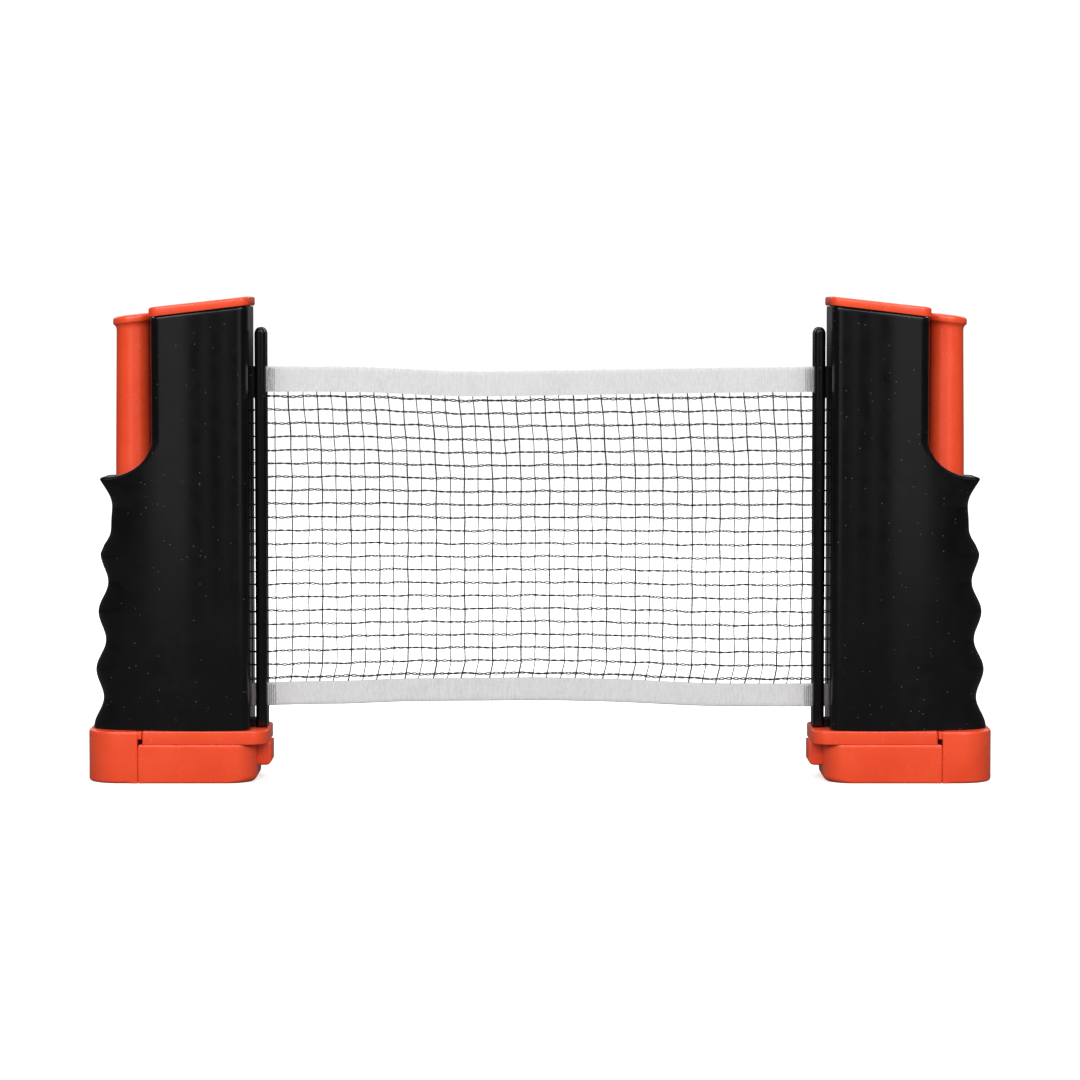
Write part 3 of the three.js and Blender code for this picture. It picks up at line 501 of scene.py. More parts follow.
def grip_edge():
    """The grip's outer edge from the bottom up, as (s, z, rounding width, rounding depth)."""
    edge = []
    count = 72
    low, high = FINGERS
    pitch = (high - low) / 3
    for i in range(count + 1):
        z = SHELL_Z0 if i == 0 else low + (high - low) * i / count
        share = (z - low) / (high - low)
        peak = 25.2 - 3.3 * share
        wave = math.sin(math.pi * (z - low) / pitch) ** 2
        edge.append((CHAMBER[1] + peak - FINGER_DEPTH * wave, z, 11, 5.6))
    upper = catmull([(20.3, 96.9), (17.7, 101.5), (17.2, 107.25), (16.8, 113), (17.4, 116.7),
                     (19.5, 120.7), (21.4, SPUR_Z)], 6)
    for reach, z in upper:
        soft = min(max((122 - z) / 9, 0), 1)
        edge.append((CHAMBER[1] + reach, z, 1.5 + 9.5 * soft, 1.2 + 4.4 * soft))
    for reach, z in ((21.3, SPUR_Z + 0.45), (20.9, SPUR_Z + 0.85), (20.2, SPUR_Z + 1.1)):
        edge.append((CHAMBER[1] + reach, z, 1.3, 1.0))
    for i in range(1, 31):
        a = i / 30 * math.pi / 2
        soft = min(max((a - 1.25) / 0.3, 0), 1)
        edge.append((CHAMBER[1] + 20.2 * (1 - math.sin(a)), GRIP_TOP - 14.4 * math.cos(a),
                     1.3 + 2.7 * soft, 1.0 + 3.0 * soft))
    return edge


def depth_at(s):
    """Half the post's depth: crowned over the chamber, and tapering along the grip."""
    t = (s - sum(CHAMBER) / 2) / ((CHAMBER[1] - CHAMBER[0]) / 2)
    out = s - CHAMBER[1]
    edge = CHAMBER_HALF_DEPTH - CHAMBER_CROWN
    return np.where(t < 1, CHAMBER_HALF_DEPTH - CHAMBER_CROWN * t * t,
                    edge - 0.2427 * out - 0.003 * out * out)


def roof_at(s):
    return ROOF[0] + ROOF_SLOPE * (s - CHAMBER[1])


def rim_gap(rim, s, z):
    """The rim's point nearest to a place, and how far the place lies from the rim."""
    here = np.array([s, z])
    gaps = np.hypot(rim[:, 0] - s, rim[:, 1] - z)
    near = int(np.argmin(gaps))
    a, b = rim[max(near - 1, 0)], rim[min(near + 1, len(rim) - 1)]
    way = b[:2] - a[:2]
    t = np.clip(np.dot(here - a[:2], way) / max(np.dot(way, way), 1e-9), 0, 1)
    return near, min(gaps[near], np.hypot(*(a[:2] + way * t - here)))


def shell_half(hand, side):
    """One moulded half of a post: side is -1 in front and 1 behind."""
    edge = grip_edge()
    roof_height = ROOF[0] - GRIP_TOP
    rows = [(s, z, False) for s, z, _, _ in edge]
    rows += [(CHAMBER[1], share, True) for share in np.linspace(0, 0.96, 20)[1:]]
    rows += [(CHAMBER[1], 1 - under / roof_height, True) for under in (0.8, 0.6, 0.4, 0.2, 0)]
    beside_button = [(CHAMBER[1], z, 4, 4) for z in np.linspace(GRIP_TOP, ROOF[0] + 6, 60)[1:]]
    rim = np.array(edge + beside_button)

    squareness = 0.83
    inner = [(CHAMBER[0] + CHAMBER_CORNER * (1 - math.cos(a) ** squareness),
              CHAMBER_CORNER * (1 - math.sin(a) ** squareness))
             for a in np.linspace(0, math.pi / 2, 10)]
    start, s_from = inner[0][0], inner[-1][0]
    wall = depth_at(np.array(start)) - CHAMBER_CORNER
    towards_edge = 0.72 + 0.28 * np.sin(np.linspace(0, math.pi / 2, 16))
    shares = np.concatenate([np.linspace(0, 0.72, 20)[1:], towards_edge[1:]])
    grid = []
    for s_out, level, roofed in rows:
        def z_at(s):
            return GRIP_TOP + level * (roof_at(s) - GRIP_TOP) if roofed else level

        line = []
        in_net = NET_Z0 + 1 < z_at(start) < NET_Z1 - 1
        seam = NET_MOUTH if in_net else SEAM
        under = (1 - level) * roof_height if roofed else ROOF_RIM
        rise = max(1 - under / ROOF_RIM, 0)
        eaves = 0.16 * rise + 0.2 * rise ** 3
        for share in (0, 0.33, 0.66):
            line.append((start, seam + (wall - seam) * share, z_at(start)))
        for s, drop in inner:
            line.append((s, depth_at(np.array(s)) - drop - eaves, z_at(s)))
        for share in shares:
            s = s_from + (s_out - s_from) * share
            z = z_at(s)
            near, gap = rim_gap(rim, s, z)
            if share == shares[-1]:
                gap = 0.0
            width, fall = rim[near, 2], rim[near, 3]
            closeness = max(1 - gap / width, 0) ** 1.25
            rounded = fall * (1 - math.sqrt(max(1 - closeness * closeness, 0)))
            line.append((s, depth_at(np.array(s)) - eaves - rounded, z))
        last = line[-1]
        away = last[0] - PLUNGER_S
        at_button = abs(away) < BUTTON_HOLE - 0.05 and SPUR_Z < level < GRIP_TOP and not roofed
        open_at = math.sqrt(BUTTON_HOLE ** 2 - away * away) if at_button else SEAM
        for share in (0.33, 0.66, 1):
            line.append((last[0], last[1] + (open_at - last[1]) * share, last[2]))
        grid.append(line)
    columns = len(grid[0])
    points = [(s, side * y, z) for line in grid for s, y, z in line]
    faces = [(j * columns + i, j * columns + i + 1, (j + 1) * columns + i + 1, (j + 1) * columns + i)
             for j in range(len(grid) - 1) for i in range(columns - 1)]
    name = f"{hand}_{'front' if side < 0 else 'back'}_shell_skin"
    obj = new_object(name, to_row(hand, points), faces)
    if side * HANDS[hand] > 0:
        obj.data.flip_normals()
    thick = obj.modifiers.new("wall", "SOLIDIFY")
    thick.thickness = SHELL_WALL * MM
    thick.offset = -1
    applied(obj)
    return obj


# Places (s, z) of the six screws that hold the two shell halves together.
SCREWS = [(12.1, 184.4), (40.9, 184.4), (12.1, 24.3), (40.9, 24.3), (66.3, 25.5), (65.4, 93.3)]
SCREW_SINK = 0.9                # of a screw's head below the shell around it
SCREW_HEAD_RADIUS = 2.3         # of the hole that takes a screw's head
SCREW_HEAD = 1.4                # height of a screw's head
BEHIND = 40                     # a y that lies behind every part of a post
SCREW_DEPTHS = {}


def surface_depth(obj, hand, s, z):
    """How far behind the net's plane the back of a shell lies at a place."""
    start = Vector(to_row(hand, [(s, BEHIND, z)])[0])
    hit, point, _, _ = obj.ray_cast(start, Vector((0, -1, 0)))
    if not hit:
        raise ValueError(f"no shell at {s}, {z}")
    return point.y / MM


def screw_cutter(hand, s, z, depth):
    floor = depth - SCREW_SINK - SCREW_HEAD
    return round_cutter(hand, SCREW_HEAD_RADIUS, floor, BEHIND, 24,
                        lambda x, y, h: (s + x, h, z + y))


def build_shells(hand):
    for side, node in ((-1, "front_shell"), (1, "back_shell")):
        obj = shell_half(hand, side)
        if side > 0:
            for s, z in SCREWS:
                SCREW_DEPTHS[s, z] = surface_depth(obj, hand, s, z)
            cut(obj, [screw_cutter(hand, s, z, SCREW_DEPTHS[s, z]) for s, z in SCREWS])
        tidy_normals(obj, 40)
        finished(obj, f"{hand}_post", BLACK, f"{hand}_{node}")


# ---------------- cap, jaws and guide bars

def chamber_plan(grow):
    """The chamber's outline seen from above, larger by grow all round."""
    half = (CHAMBER[1] - CHAMBER[0]) / 2 + grow
    half_depth = CHAMBER_HALF_DEPTH + grow
    corner = CHAMBER_CORNER + grow
    count = 9
    points = []
    for side in (1, -1):
        for share in np.linspace(-1, 1, 13):
            s = side * share * (half - corner)
            points.append((s, -side * (half_depth - CHAMBER_CROWN * (s / half) ** 2)))
        edge = half_depth - CHAMBER_CROWN * ((half - corner) / half) ** 2
        for i in range(1, count):
            a = i / count * math.pi / 2
            points.append((side * (half - corner + corner * math.sin(a)),
                           -side * (edge - corner * (1 - math.cos(a)))))
        points.append((side * half, -side * (edge - corner)))
        for i in range(count):
            a = i / count * math.pi / 2
            points.append((side * (half - corner + corner * math.cos(a)),
                           side * (edge - corner + corner * math.sin(a))))
    clean = thinned(points, 0.05)
    if math.hypot(clean[0][0] - clean[-1][0], clean[0][1] - clean[-1][1]) < 0.05:
        clean.pop()
    return [(sum(CHAMBER) / 2 + u, v) for u, v in clean]


def build_cap(hand):
    """The slanted lid, with a rounded rim and a slightly crowned top."""
    overhang, length, thickness, crown_height = 0.6, 41.2, 4.2, 0.35
    half_depth = CHAMBER_HALF_DEPTH + overhang
    plan = thinned([(u, v - math.copysign(0.4, v)) for u, v in chamber_plan(overhang)], 0.25)

    def slanted(u, v, w):
        bottom = roof_at(u) + 0.3
        top = bottom + thickness - 0.4 * (CHAMBER[1] - u) / length
        crown = crown_height * (1 - (v / half_depth) ** 2) * max(0.0, w - 0.55) / 0.45
        return u, v, bottom + (top - bottom - crown_height) * w + crown

    rings = []
    for depth, height in ((0.55, 0.0), (0.16, 0.04), (0.0, 0.16), (0.0, 0.5), (0.0, 0.78), (0.12, 0.89),
                          (0.4, 0.96), (0.9, 1.0), (2.2, 1.0), (4.0, 1.0)):
        rings.append([slanted(u, v, height) for u, v in inset(plan, [depth] * len(plan))])
    points = [point for ring in rings for point in ring]
    obj = new_object(f"{hand}_cap", to_row(hand, points), stack_faces(len(rings), len(plan)))
    tidy_normals(obj)
    finished(obj, f"{hand}_post", ORANGE, f"{hand}_top_cap")


PAD_POCKET = (7.7, 45.3, -15.3, 15.3)       # s and y of the pocket that takes a pad


def build_upper_jaw(hand):
    plan = rounded_rectangle(UPPER_JAW[0], UPPER_JAW[1], JAW_HALF_DEPTH - 0.45, 8, 1.2)
    plate = block(f"{hand}_upper_jaw_plate", hand, plan, *UPPER_JAW_Z, upwards, r_low=0.25, r_high=0.45)
    cut(plate, [cutter_box(hand, *PAD_POCKET, 10, 18.2)])
    tidy_normals(plate)
    finished(plate, f"{hand}_post", ORANGE, f"{hand}_upper_jaw")


def pad(hand, name, node, z0, z1, body, up):
    """A rubber pad with moulded ribs on the face that grips the table."""
    plan = rounded_rectangle(8, 45, 15, 1, 1, 4)
    obj = block(name, hand, plan, z0, z1, upwards, r_low=0.3, r_high=0.3)
    grooves = []
    face = z1 if up else z0
    for i in range(11):
        s = 11 + i * 3.1
        low, high = (face - 0.5, face + 1) if up else (face - 1, face + 0.5)
        grooves.append(cutter_box(hand, s - 0.45, s + 0.45, -13.4, 13.4, low, high))
    cut(obj, grooves)
    tidy_normals(obj)
    finished(obj, body, RUBBER, node)


def nose_outline():
    """The nose seen from the front: rounded below, with its inner end let into the jaw block."""
    inner, outer, bottom = -1.8, 7.2, 6
    outline = []
    for u, radius, start in ((inner + 2.4, 2.4, 180), (outer - 1.2, 1.2, 270)):
        for i in range(7):
            a = math.radians(start + 15 * i)
            outline.append((u + radius * math.cos(a), bottom + radius + radius * math.sin(a)))
    return outline + [(outer, JAW_TOP - 0.1), (inner, JAW_TOP - 0.1)]


def build_lower_jaw(hand):
    """The orange base: jaw block, web, nose and lip in one, hollow from below."""
    def base_block(name, plan, top, stops, radii):
        rim = [float(np.interp(u, stops, radii)) for u, _ in plan]
        return block(name, hand, plan, 0, top, upwards, r_low=rim,
                     r_high=[min(r, 0.3) for r in rim], steps=5, lean=0.17)

    inner = 3.9
    seam0, seam1 = WEB_S0 - 0.2, WEB_S0 + 0.15
    jaw_plan = divided(rounded_rectangle(inner, seam0, JAW_HALF_DEPTH, 10, 0.35, 10), 2)
    jaw = base_block(f"{hand}_lower_jaw_block", jaw_plan, JAW_TOP,
                     [inner + 3, inner + 11, seam0 - 3, seam0 - 1], [2.7, 0.9, 0.9, 0.3])
    web_plan = divided(rounded_rectangle(seam1, LOWER_JAW[1], JAW_HALF_DEPTH, 0.35, 14, 12), 2)
    web = base_block("web", web_plan, WEB_TOP, [seam1 + 1, seam1 + 4], [0.3, 1.2])
    nose = block("nose", hand, nose_outline(), -8, 8, across, r_low=1.0, r_high=1.0)
    joiner = cutter_box(hand, WEB_S0 - 2, WEB_S0 + 2, -20.2, 20.2, 0.9, 14.6)
    lip_plan = rounded_rectangle(50.4, 53.9, 20, 0.5, 0.5, 3)
    lip = block("lip", hand, lip_plan, 18, WEB_TOP - 0.05, upwards, r_low=0.25, r_high=0.25)
    cut(jaw, [web, nose, joiner, lip], "UNION")
    cutters = [cutter_box(hand, *PAD_POCKET, 13.8, 20)]
    for s0, s1 in ((11, 28.8), (30.8, 49.5)):
        for y0, y1 in ((-17.6, -1), (1, 17.6)):
            cutters.append(cutter_box(hand, s0, s1, y0, y1, -5, 11.4))
    cutters.append(cutter_box(hand, 65.3, 70.8, -10, 10, -5, 18.7))
    cutters.append(cutter_box(hand, 55.1, 62.9, -9.3, 9.3, 4.0, 25))
    stepped = [(0, -5), (2.3, -5), (2.3, 2.7), (1.2, 2.7), (1.2, 6), (0, 6)]
    cutters.append(cutter(hand, *turned_points(stepped, 24, lambda x, y, h: (LEG_SCREW_S + x, y, h))))
    cut(jaw, cutters)
    tidy_normals(jaw)
    finished(jaw, f"{hand}_clamp", ORANGE, f"{hand}_lower_jaw")


def build_guide_bars(hand):
    top = span("right_guide_bar_front", "z")[1]
    width = 4.7
    head = width * 0.62         # height of the rounded top
    outline = [(0, SHELL_Z0), (width, SHELL_Z0)]
    for i in range(25):
        a = i / 24 * math.pi
        outline.append((width / 2 * (1 + math.cos(a)), top - head + head * math.sin(a)))
    for side, part in ((-1, "front"), (1, "back")):
        low, high = sorted((side * 1.2, side * 6.7))
        outer, close = 1.9, 0.35
        r_low, r_high = (outer, close) if side < 0 else (close, outer)
        bar = block(f"{hand}_guide_{part}", hand, outline, low, high, across, steps=6,
                    r_low=r_low, r_high=r_high)
        web0, web1 = sorted((side * 1.6, side * 3.6))
        webs = [cutter_box(hand, 3.8, 8.0, web0, web1, z0, z1) for z0, z1 in GUIDE_WEBS]
        cut(bar, webs, "UNION")
        tidy_normals(bar)
        finished(bar, f"{hand}_post", BLACK, f"{hand}_guide_bar_{part}")


# ---------------- plunger, spring and screws

def build_plunger(hand):
    """The push button: a round bar with a flat side, a slanted head with a collar and a cove."""
    radius, flat_side, collar = 8.0, -6.7, 8.8
    head_slope = 0.1165
    profile = [(0, PLUNGER_Z0), (7.2, PLUNGER_Z0), (radius, PLUNGER_Z0 + 0.8), (radius, 131), (7.4, 184.4),
               (7.42, 185.0), (7.6, 185.8), (8.0, 186.5), (8.5, 186.95), (8.72, 187.15),
               (collar, 187.45), (collar, 188.6), (8.72, 189.2), (8.5, 189.65), (8.1, 189.95),
               (7.5, 190.1), (4.0, 190.3), (0, 190.35)]

    def place(x, y, h):
        s = PLUNGER_S + max(x, flat_side)
        lean = min(max((h - 184.0) / 0.4, 0), 1)
        return s, y, h - lean * head_slope * (s - PLUNGER_S - collar)

    points, faces = turned_points(profile, 72, place)
    obj = new_object(f"{hand}_push_button", to_row(hand, points), faces)
    tidy_normals(obj)
    screw_hole = round_cutter(hand, 2.35, 4, 20, 24,
                              lambda x, y, h: (PLUNGER_S + x, h, PLUNGER_SCREW_Z + y))
    spring_bore = round_cutter(hand, 5.6, 80, 181, 40, lambda x, y, h: (PLUNGER_S + x, y, h))
    cut(obj, [screw_hole, spring_bore])
    tidy_normals(obj)
    finished(obj, f"{hand}_clamp", ORANGE, f"{hand}_plunger")


def tube(path, radius, sides):
    """Points and faces of a round tube along a path of 3-D points, with flat ends. radius is one
    number, or one for each point."""
    path = np.asarray(path, float)
    count = len(path)
    ahead = np.gradient(path, axis=0)
    ahead /= np.linalg.norm(ahead, axis=1)[:, None]
    up = np.array([0.0, 1.0, 0.0])
    if abs(ahead[0] @ up) > 0.9:
        up = np.array([1.0, 0.0, 0.0])
    one = np.cross(ahead, up)
    one /= np.linalg.norm(one, axis=1)[:, None]
    two = np.cross(ahead, one)
    points = []
    radius = np.broadcast_to(radius, count)[:, None]
    for i in range(sides):
        a = 2 * math.pi * i / sides
        points.append(path + radius * (math.cos(a) * one + math.sin(a) * two))
    return np.stack(points, 1).reshape(-1, 3), stack_faces(count, sides)


def build_clamp_spring(hand):
    low, high = span("right_clamp_spring", "z")
    turns, per_turn, radius, wire = 10, 20, 4.5, 0.5
    count = turns * per_turn
    path = []
    for i in range(count + 1):
        a = 2 * math.pi * i / per_turn
        share = i / count
        z = low + wire + (high - low - 2 * wire) * share
        path.append((PLUNGER_S + radius * math.cos(a), radius * math.sin(a), z))
    points, faces = tube(path, wire, 8)
    obj = new_object(f"{hand}_pull_spring", to_row(hand, points), faces)
    tidy_normals(obj)
    obj.data.materials.append(STEEL)
    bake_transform(obj)
    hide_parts(f"{hand}_clamp_spring")


def screw_mesh():
    """A pan-head screw along +h, with its head's top at h = 0 and a cross recess."""
    profile = [(0, -14), (0.5, -13.6), (0.9, -12.8), (0.9, -SCREW_HEAD), (2.0, -SCREW_HEAD),
               (2.0, -0.75), (1.92, -0.45), (1.7, -0.2), (1.3, -0.05), (0.8, 0), (0, 0)]
    obj = new_object("screw", *turned_points(profile, 28, upwards))
    tidy_normals(obj)
    cutters = []
    for wide, deep in ((0.26, 1.15), (1.15, 0.26)):
        arm = new_object("cutter", *box_points(-wide, wide, -deep, deep, -0.75, 0.5))
        tidy_normals(arm)
        cutters.append(arm)
    cut(obj, cutters)
    mesh = obj.data
    points = [tuple(v.co) for v in mesh.vertices]
    faces = [tuple(p.vertices) for p in mesh.polygons]
    bpy.data.objects.remove(obj)
    return points, faces


def build_screws(hand):
    points, faces = screw_mesh()

    def add(name, place, body, node):
        obj = new_object(name, to_row(hand, [place(*p) for p in points]), faces)
        tidy_normals(obj, 30)
        finished(obj, body, STEEL, node)

    for i, (s, z) in enumerate(SCREWS):
        top = SCREW_DEPTHS[s, z] - SCREW_SINK
        add(f"{hand}_case_screw_{i + 1}", lambda x, y, h, s=s, z=z, top=top: (s + x, top + h, z + y),
            f"{hand}_post", f"{hand}_shell_screw_{i + 1}")
    add(f"{hand}_button_screw", lambda x, y, h: (PLUNGER_S + x, 8.6 + min(h, 0) * 0.8, PLUNGER_SCREW_Z + y),
        f"{hand}_clamp", f"{hand}_plunger_screw")
    add(f"{hand}_jaw_screw", lambda x, y, h: (LEG_SCREW_S + x, y, 1 - h),
        f"{hand}_clamp", f"{hand}_leg_screw")


# ---------------- net

# How far the net's upper edge hangs down and its lower edge rises along x, as the photo shows.
SAG_X = [-123, -99, -75, -62, -50, -38, -25, 0, 49, 86, 123]
SAG_TOP = [0, -0.1, 0.0, 0.45, 1.1, 1.7, 1.93, 1.55, 0.78, 0.2, 0]
SAG_LOW_X = [-123, -99, -75, -62, -38, 0, 11, 24, 36, 48, 61, 73, 123]
SAG_LOW = [0, 0.9, 1.2, 2.0, 2.35, 2.6, 2.4, 2.1, 1.75, 1.05, 0.4, 0.05, 0]


def eased(x, xs, values):
    """Smooth reading of a short table: a running mean of its straight-line reading."""
    offsets = np.linspace(-9, 9, 13)
    return np.mean([np.interp(np.asarray(x, float) + o, xs, values) for o in offsets], axis=0)


def edge_shift(x, upper):
    """How far the net's upper or lower edge lies above its straight place."""
    return -eased(x, SAG_X, SAG_TOP) if upper else eased(x, SAG_LOW_X, SAG_LOW)


def drift(x, share):
    """How far the net has strayed along its length at a height share (1 at the top tape)."""
    down = 1 - share
    lean = 2.3 * np.sin(np.clip(down / 0.35, 0, 1) * math.pi / 2)
    last = np.clip((down - 0.94) / 0.06, 0, 1)
    inside = np.clip((112 - np.abs(x)) / 12, 0, 1)
    return (lean - 1.6 * last) * inside


def swell(x):
    return 0.35 * np.sin(np.asarray(x) / 23.0) + 0.2 * np.sin(np.asarray(x) / 9.0 + 1.3)


def tape_sway(x):
    """How far a tape strays from the net's plane: less where the guide bars hold it."""
    return swell(x) * np.clip((FACE + 4 - np.abs(x)) / 8, 0.3, 1)


def mesh_z(x, share):
    low = BOTTOM_TAPE[1] - 0.8 + edge_shift(x, False)
    high = TOP_TAPE[0] + 0.8 + edge_shift(x, True)
    return low + (high - low) * share


def join(parts):
    points, faces, total = [], [], 0
    for p, f in parts:
        points.append(np.asarray(p, float))
        faces += [tuple(i + total for i in face) for face in f]
        total += len(p)
    return np.concatenate(points), faces


def net_object(name, parts, material, centres=None, shift=0.0):
    """Puts net pieces between the two posts. With centres, the points are set to their strands'
    middles for a moment and then put back where they were, so each piece keeps its own shape."""
    points, faces = join(parts)
    obj = new_object(name, points * MM, faces)
    tidy_normals(obj, 60)
    obj.data.materials.append(material)
    reach = (FACE + (10 if centres is None else 20)) * MM
    start, end = (-reach - shift * MM, 0, 0), (reach - shift * MM, 0, 0)
    shape = np.array([v.co for v in obj.data.vertices], np.float32)
    weighed = shape.copy()
    if centres is not None:
        weighed[:, 0] = np.concatenate(centres) * MM
    obj.data.vertices.foreach_set("co", weighed.ravel())
    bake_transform(obj)
    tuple(start)
    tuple(end)
    obj.data.vertices.foreach_set("co", shape.ravel())
    obj.data.update()
    return obj


LINES = 22                      # horizontal lines
PITCH = 5.85                    # from one upright line to the next
GROUPS = 4                      # of upright lines, one behind the other at rest


def line_share(i):
    """Height share of horizontal line i, counted from the top, between the tapes' edges."""
    return 1 - (0.022 + 0.956 * i / (LINES - 1))


def build_lines():
    """The horizontal lines: two plies twisted round each other, with light between them."""
    rng = random.Random(7)
    xs = np.arange(-NET_REACH + 0.5, NET_REACH - 0.4, 0.62)
    for half, label in ((range(0, LINES // 2), "upper"), (range(LINES // 2, LINES), "lower")):
        parts = []
        for i in half:
            share = line_share(i)
            edge_line = i in (0, LINES - 1)
            phase = rng.uniform(0, 6.28)
            beat = rng.uniform(0, 6.28)
            twist = 2 * math.pi * (xs / 6.3) + phase + 1.3 * np.sin(xs / 11.0 + beat)
            wander = 0.16 * np.sin(xs / 3.7 + beat) + 0.1 * np.sin(xs / 1.9 + phase)
            width = (0.32 if edge_line else 0.28) * (1 + 0.3 * np.sin(xs / 5.1 + phase))
            for ply in (0, math.pi):
                z = mesh_z(xs, share) + wander + width * np.cos(twist + ply)
                y = swell(xs) * 0.4 + 0.2 * np.sin(twist + ply)
                parts.append(tube(np.stack([xs, y, z], 1), 0.25 if edge_line else 0.22, 5))
        yield net_object(f"net_lines_{label}", parts, CORD)


def knot(x, y, z, size, tilt):
    """A small tied lump where two lines cross."""
    points, faces = turned_points([(0, -1), (0.75, -0.62), (1, 0), (0.75, 0.62), (0, 1)], 6, upwards)
    c, s = math.cos(tilt), math.sin(tilt)
    out = [(x + size * (a * c - h * s) * 0.95, y + size * b * 0.8, z + size * (a * s + h * c) * 1.1)
           for a, b, h in points]
    return out, faces


def build_uprights():
    """The upright lines, in groups that lie together in one yarn, each group with its twist turned
    a little further round."""
    count = 41
    first = -FACE + 2.9
    for group in range(GROUPS):
        rng = random.Random(100)
        parts, centres = [], []
        for i in range(-1, count):
            x0 = first + i * PITCH + rng.uniform(-0.25, 0.25)
            weight = 1.12 if i % 2 else 0.8
            phase = rng.uniform(0, 6.28)
            sway = rng.uniform(0.5, 1.0)
            bend = rng.uniform(0, 6.28)
            if abs(x0) > NET_REACH - 3:
                continue
            shares = np.linspace(0.0, 1.0, 133)
            mid = x0 + drift(x0, shares) + 0.16 * sway * np.sin(shares * 38 + bend)
            z = mesh_z(mid, shares)
            twist = 2 * math.pi * z / 7.0 + phase + 2 * math.pi * group / GROUPS
            y = swell(mid) * 0.4
            wind = 0.12 * weight
            path = np.stack([mid + wind * np.cos(twist), y + wind * np.sin(twist), z], 1)
            cells = np.array([rng.uniform(0.65, 1.35) for _ in range(LINES + 1)])
            thick = np.interp(shares * LINES, np.arange(LINES + 1), cells)
            parts.append(tube(path, 0.13 * weight * thick, 4))
            centres.append(np.repeat(mid, 4))
            for k in range(LINES):
                share = line_share(k)
                kx = float(np.interp(share, shares, mid))
                size = (0.42 if (k + i) % 3 else 0.5) * (1.1 if k in (0, LINES - 1) else 0.9)
                lump = knot(kx, float(np.interp(share, shares, y)), float(mesh_z(kx, share)),
                            size * (1 - 0.04 * group), rng.uniform(-0.5, 0.5))
                parts.append(lump)
                centres.append(np.full(len(lump[0]), kx))
        yield net_object(f"net_uprights_{group + 1}", parts, CORD, centres,
                         PITCH * group / GROUPS)


def tape_strip(upper):
    """A binding folded over the edge of the net, as a thin closed sheet."""
    low, high = TOP_TAPE if upper else BOTTOM_TAPE
    outer, inner, radius = 0.8, 0.45, 0.4
    section = []
    fold = high if upper else low
    free = low if upper else high
    toward = 1 if upper else -1
    for half, bend in ((outer, radius), (inner, radius / 2)):
        centre = fold - toward * radius
        stops = [free + (centre - free) * share for share in (0, 0.3, 0.6, 0.85)]
        arc = [(-half, z) for z in stops]
        for i in range(9):
            a = math.pi - i / 8 * math.pi
            arc.append((half * math.cos(a), centre + toward * bend * math.sin(a)))
        arc += [(half, z) for z in reversed(stops)]
        section.append(arc)
    loop = section[0] + section[1][::-1]
    xs = np.linspace(-NET_REACH, NET_REACH, 190)
    shift = edge_shift(xs, upper)
    sway = tape_sway(xs)
    points = []
    rng = np.random.default_rng(5 if upper else 6)
    curl = 0.1 * np.convolve(rng.normal(size=len(xs) + 8), np.ones(9) / 9, "valid")
    for x, dz, dy, c in zip(xs, shift, sway, curl):
        for y, z in loop:
            away = (z - fold) / (free - fold)
            points.append((x, y + dy + c * away, z + dz))
    return points, stack_faces(len(xs), len(loop))


def stitches(upper, hand):
    """The dark thread that sews a tape's end down beside the guide bars."""
    rng = random.Random(31 if upper else 32)
    low, high = TOP_TAPE if upper else BOTTOM_TAPE
    parts = []
    sign = HANDS[hand]
    for column in range(4):
        x = sign * (FACE - 0.5 - column * 0.85)
        rows = 11 if upper else 10
        for row in range(rows):
            z = low + 0.6 + (high - low - 1.3) * (row + 0.5 * (column % 2)) / rows
            dz = float(edge_shift(x, upper))
            for y in (-0.87, 0.87):
                yy = y + float(tape_sway(x))
                lean = rng.uniform(-0.2, 0.2)
                path = [(x - 0.12 + lean, yy, z - 0.24 + dz), (x, yy, z + dz),
                        (x + 0.12 + lean, yy, z + 0.24 + dz)]
                parts.append(tube(path, 0.16 * rng.uniform(0.7, 1.1), 5))
    return parts


def build_net():
    lines = list(build_lines())
    uprights = list(build_uprights())
    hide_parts("net_mesh")
    for upper, node, name in ((True, "net_top_tape", "net_binding_top"),
                              (False, "net_bottom_tape", "net_binding_bottom")):
        obj = net_object(name, [tape_strip(upper)], TAPE)
        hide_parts(node)
        sewn = [net_object(f"{name}_stitches_{hand}", stitches(upper, hand), THREAD)
                for hand in HANDS]


# ---------------- pieces that stay as packed

# Material, and width of the bevel on the edges, if any.
KEPT = {
    "jaw_leg": (ORANGE, 0.4), "reel_core": (GREY, 0), "reel_axle": (STEEL, 0), "axle_bush": (GREY, 0),
    "net_roll": (CORD, 0), "spring_cup": (GREY, 0), "return_spring": (STEEL, 0), "spring_seat": (STEEL, 0),
}


def finish_kept(hand):
    for part, (material, edge) in KEPT.items():
        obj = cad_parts[f"{hand}_{part}"]
        obj.data.materials.clear()
        obj.data.materials.append(material)
        if edge:
            bevel = obj.modifiers.new("edge", "BEVEL")
            bevel.width = edge * MM
            bevel.segments = 2
            bevel.limit_method = "ANGLE"


for hand in HANDS:
    build_shells(hand)
    build_cap(hand)
    build_upper_jaw(hand)
    pad(hand, f"{hand}_upper_pad", f"{hand}_upper_jaw_pad", 15.98, 17.9, f"{hand}_post", False)
    pad(hand, f"{hand}_lower_pad", f"{hand}_lower_jaw_pad", 14.1, 15.88, f"{hand}_clamp", True)
    build_lower_jaw(hand)
    build_guide_bars(hand)
    build_plunger(hand)
    build_clamp_spring(hand)
    build_screws(hand)
    finish_kept(hand)
build_net()


# ---------------- stage, light and camera

centre = (Vector(cad_bounds[0]) + Vector(cad_bounds[1])) / 2 - Vector((0, 0, 0.001))


def coloured(tree, kind, grey):
    node = tree.nodes.new(kind)
    node.inputs["Color"].default_value = (grey, grey, grey, 1)
    return node


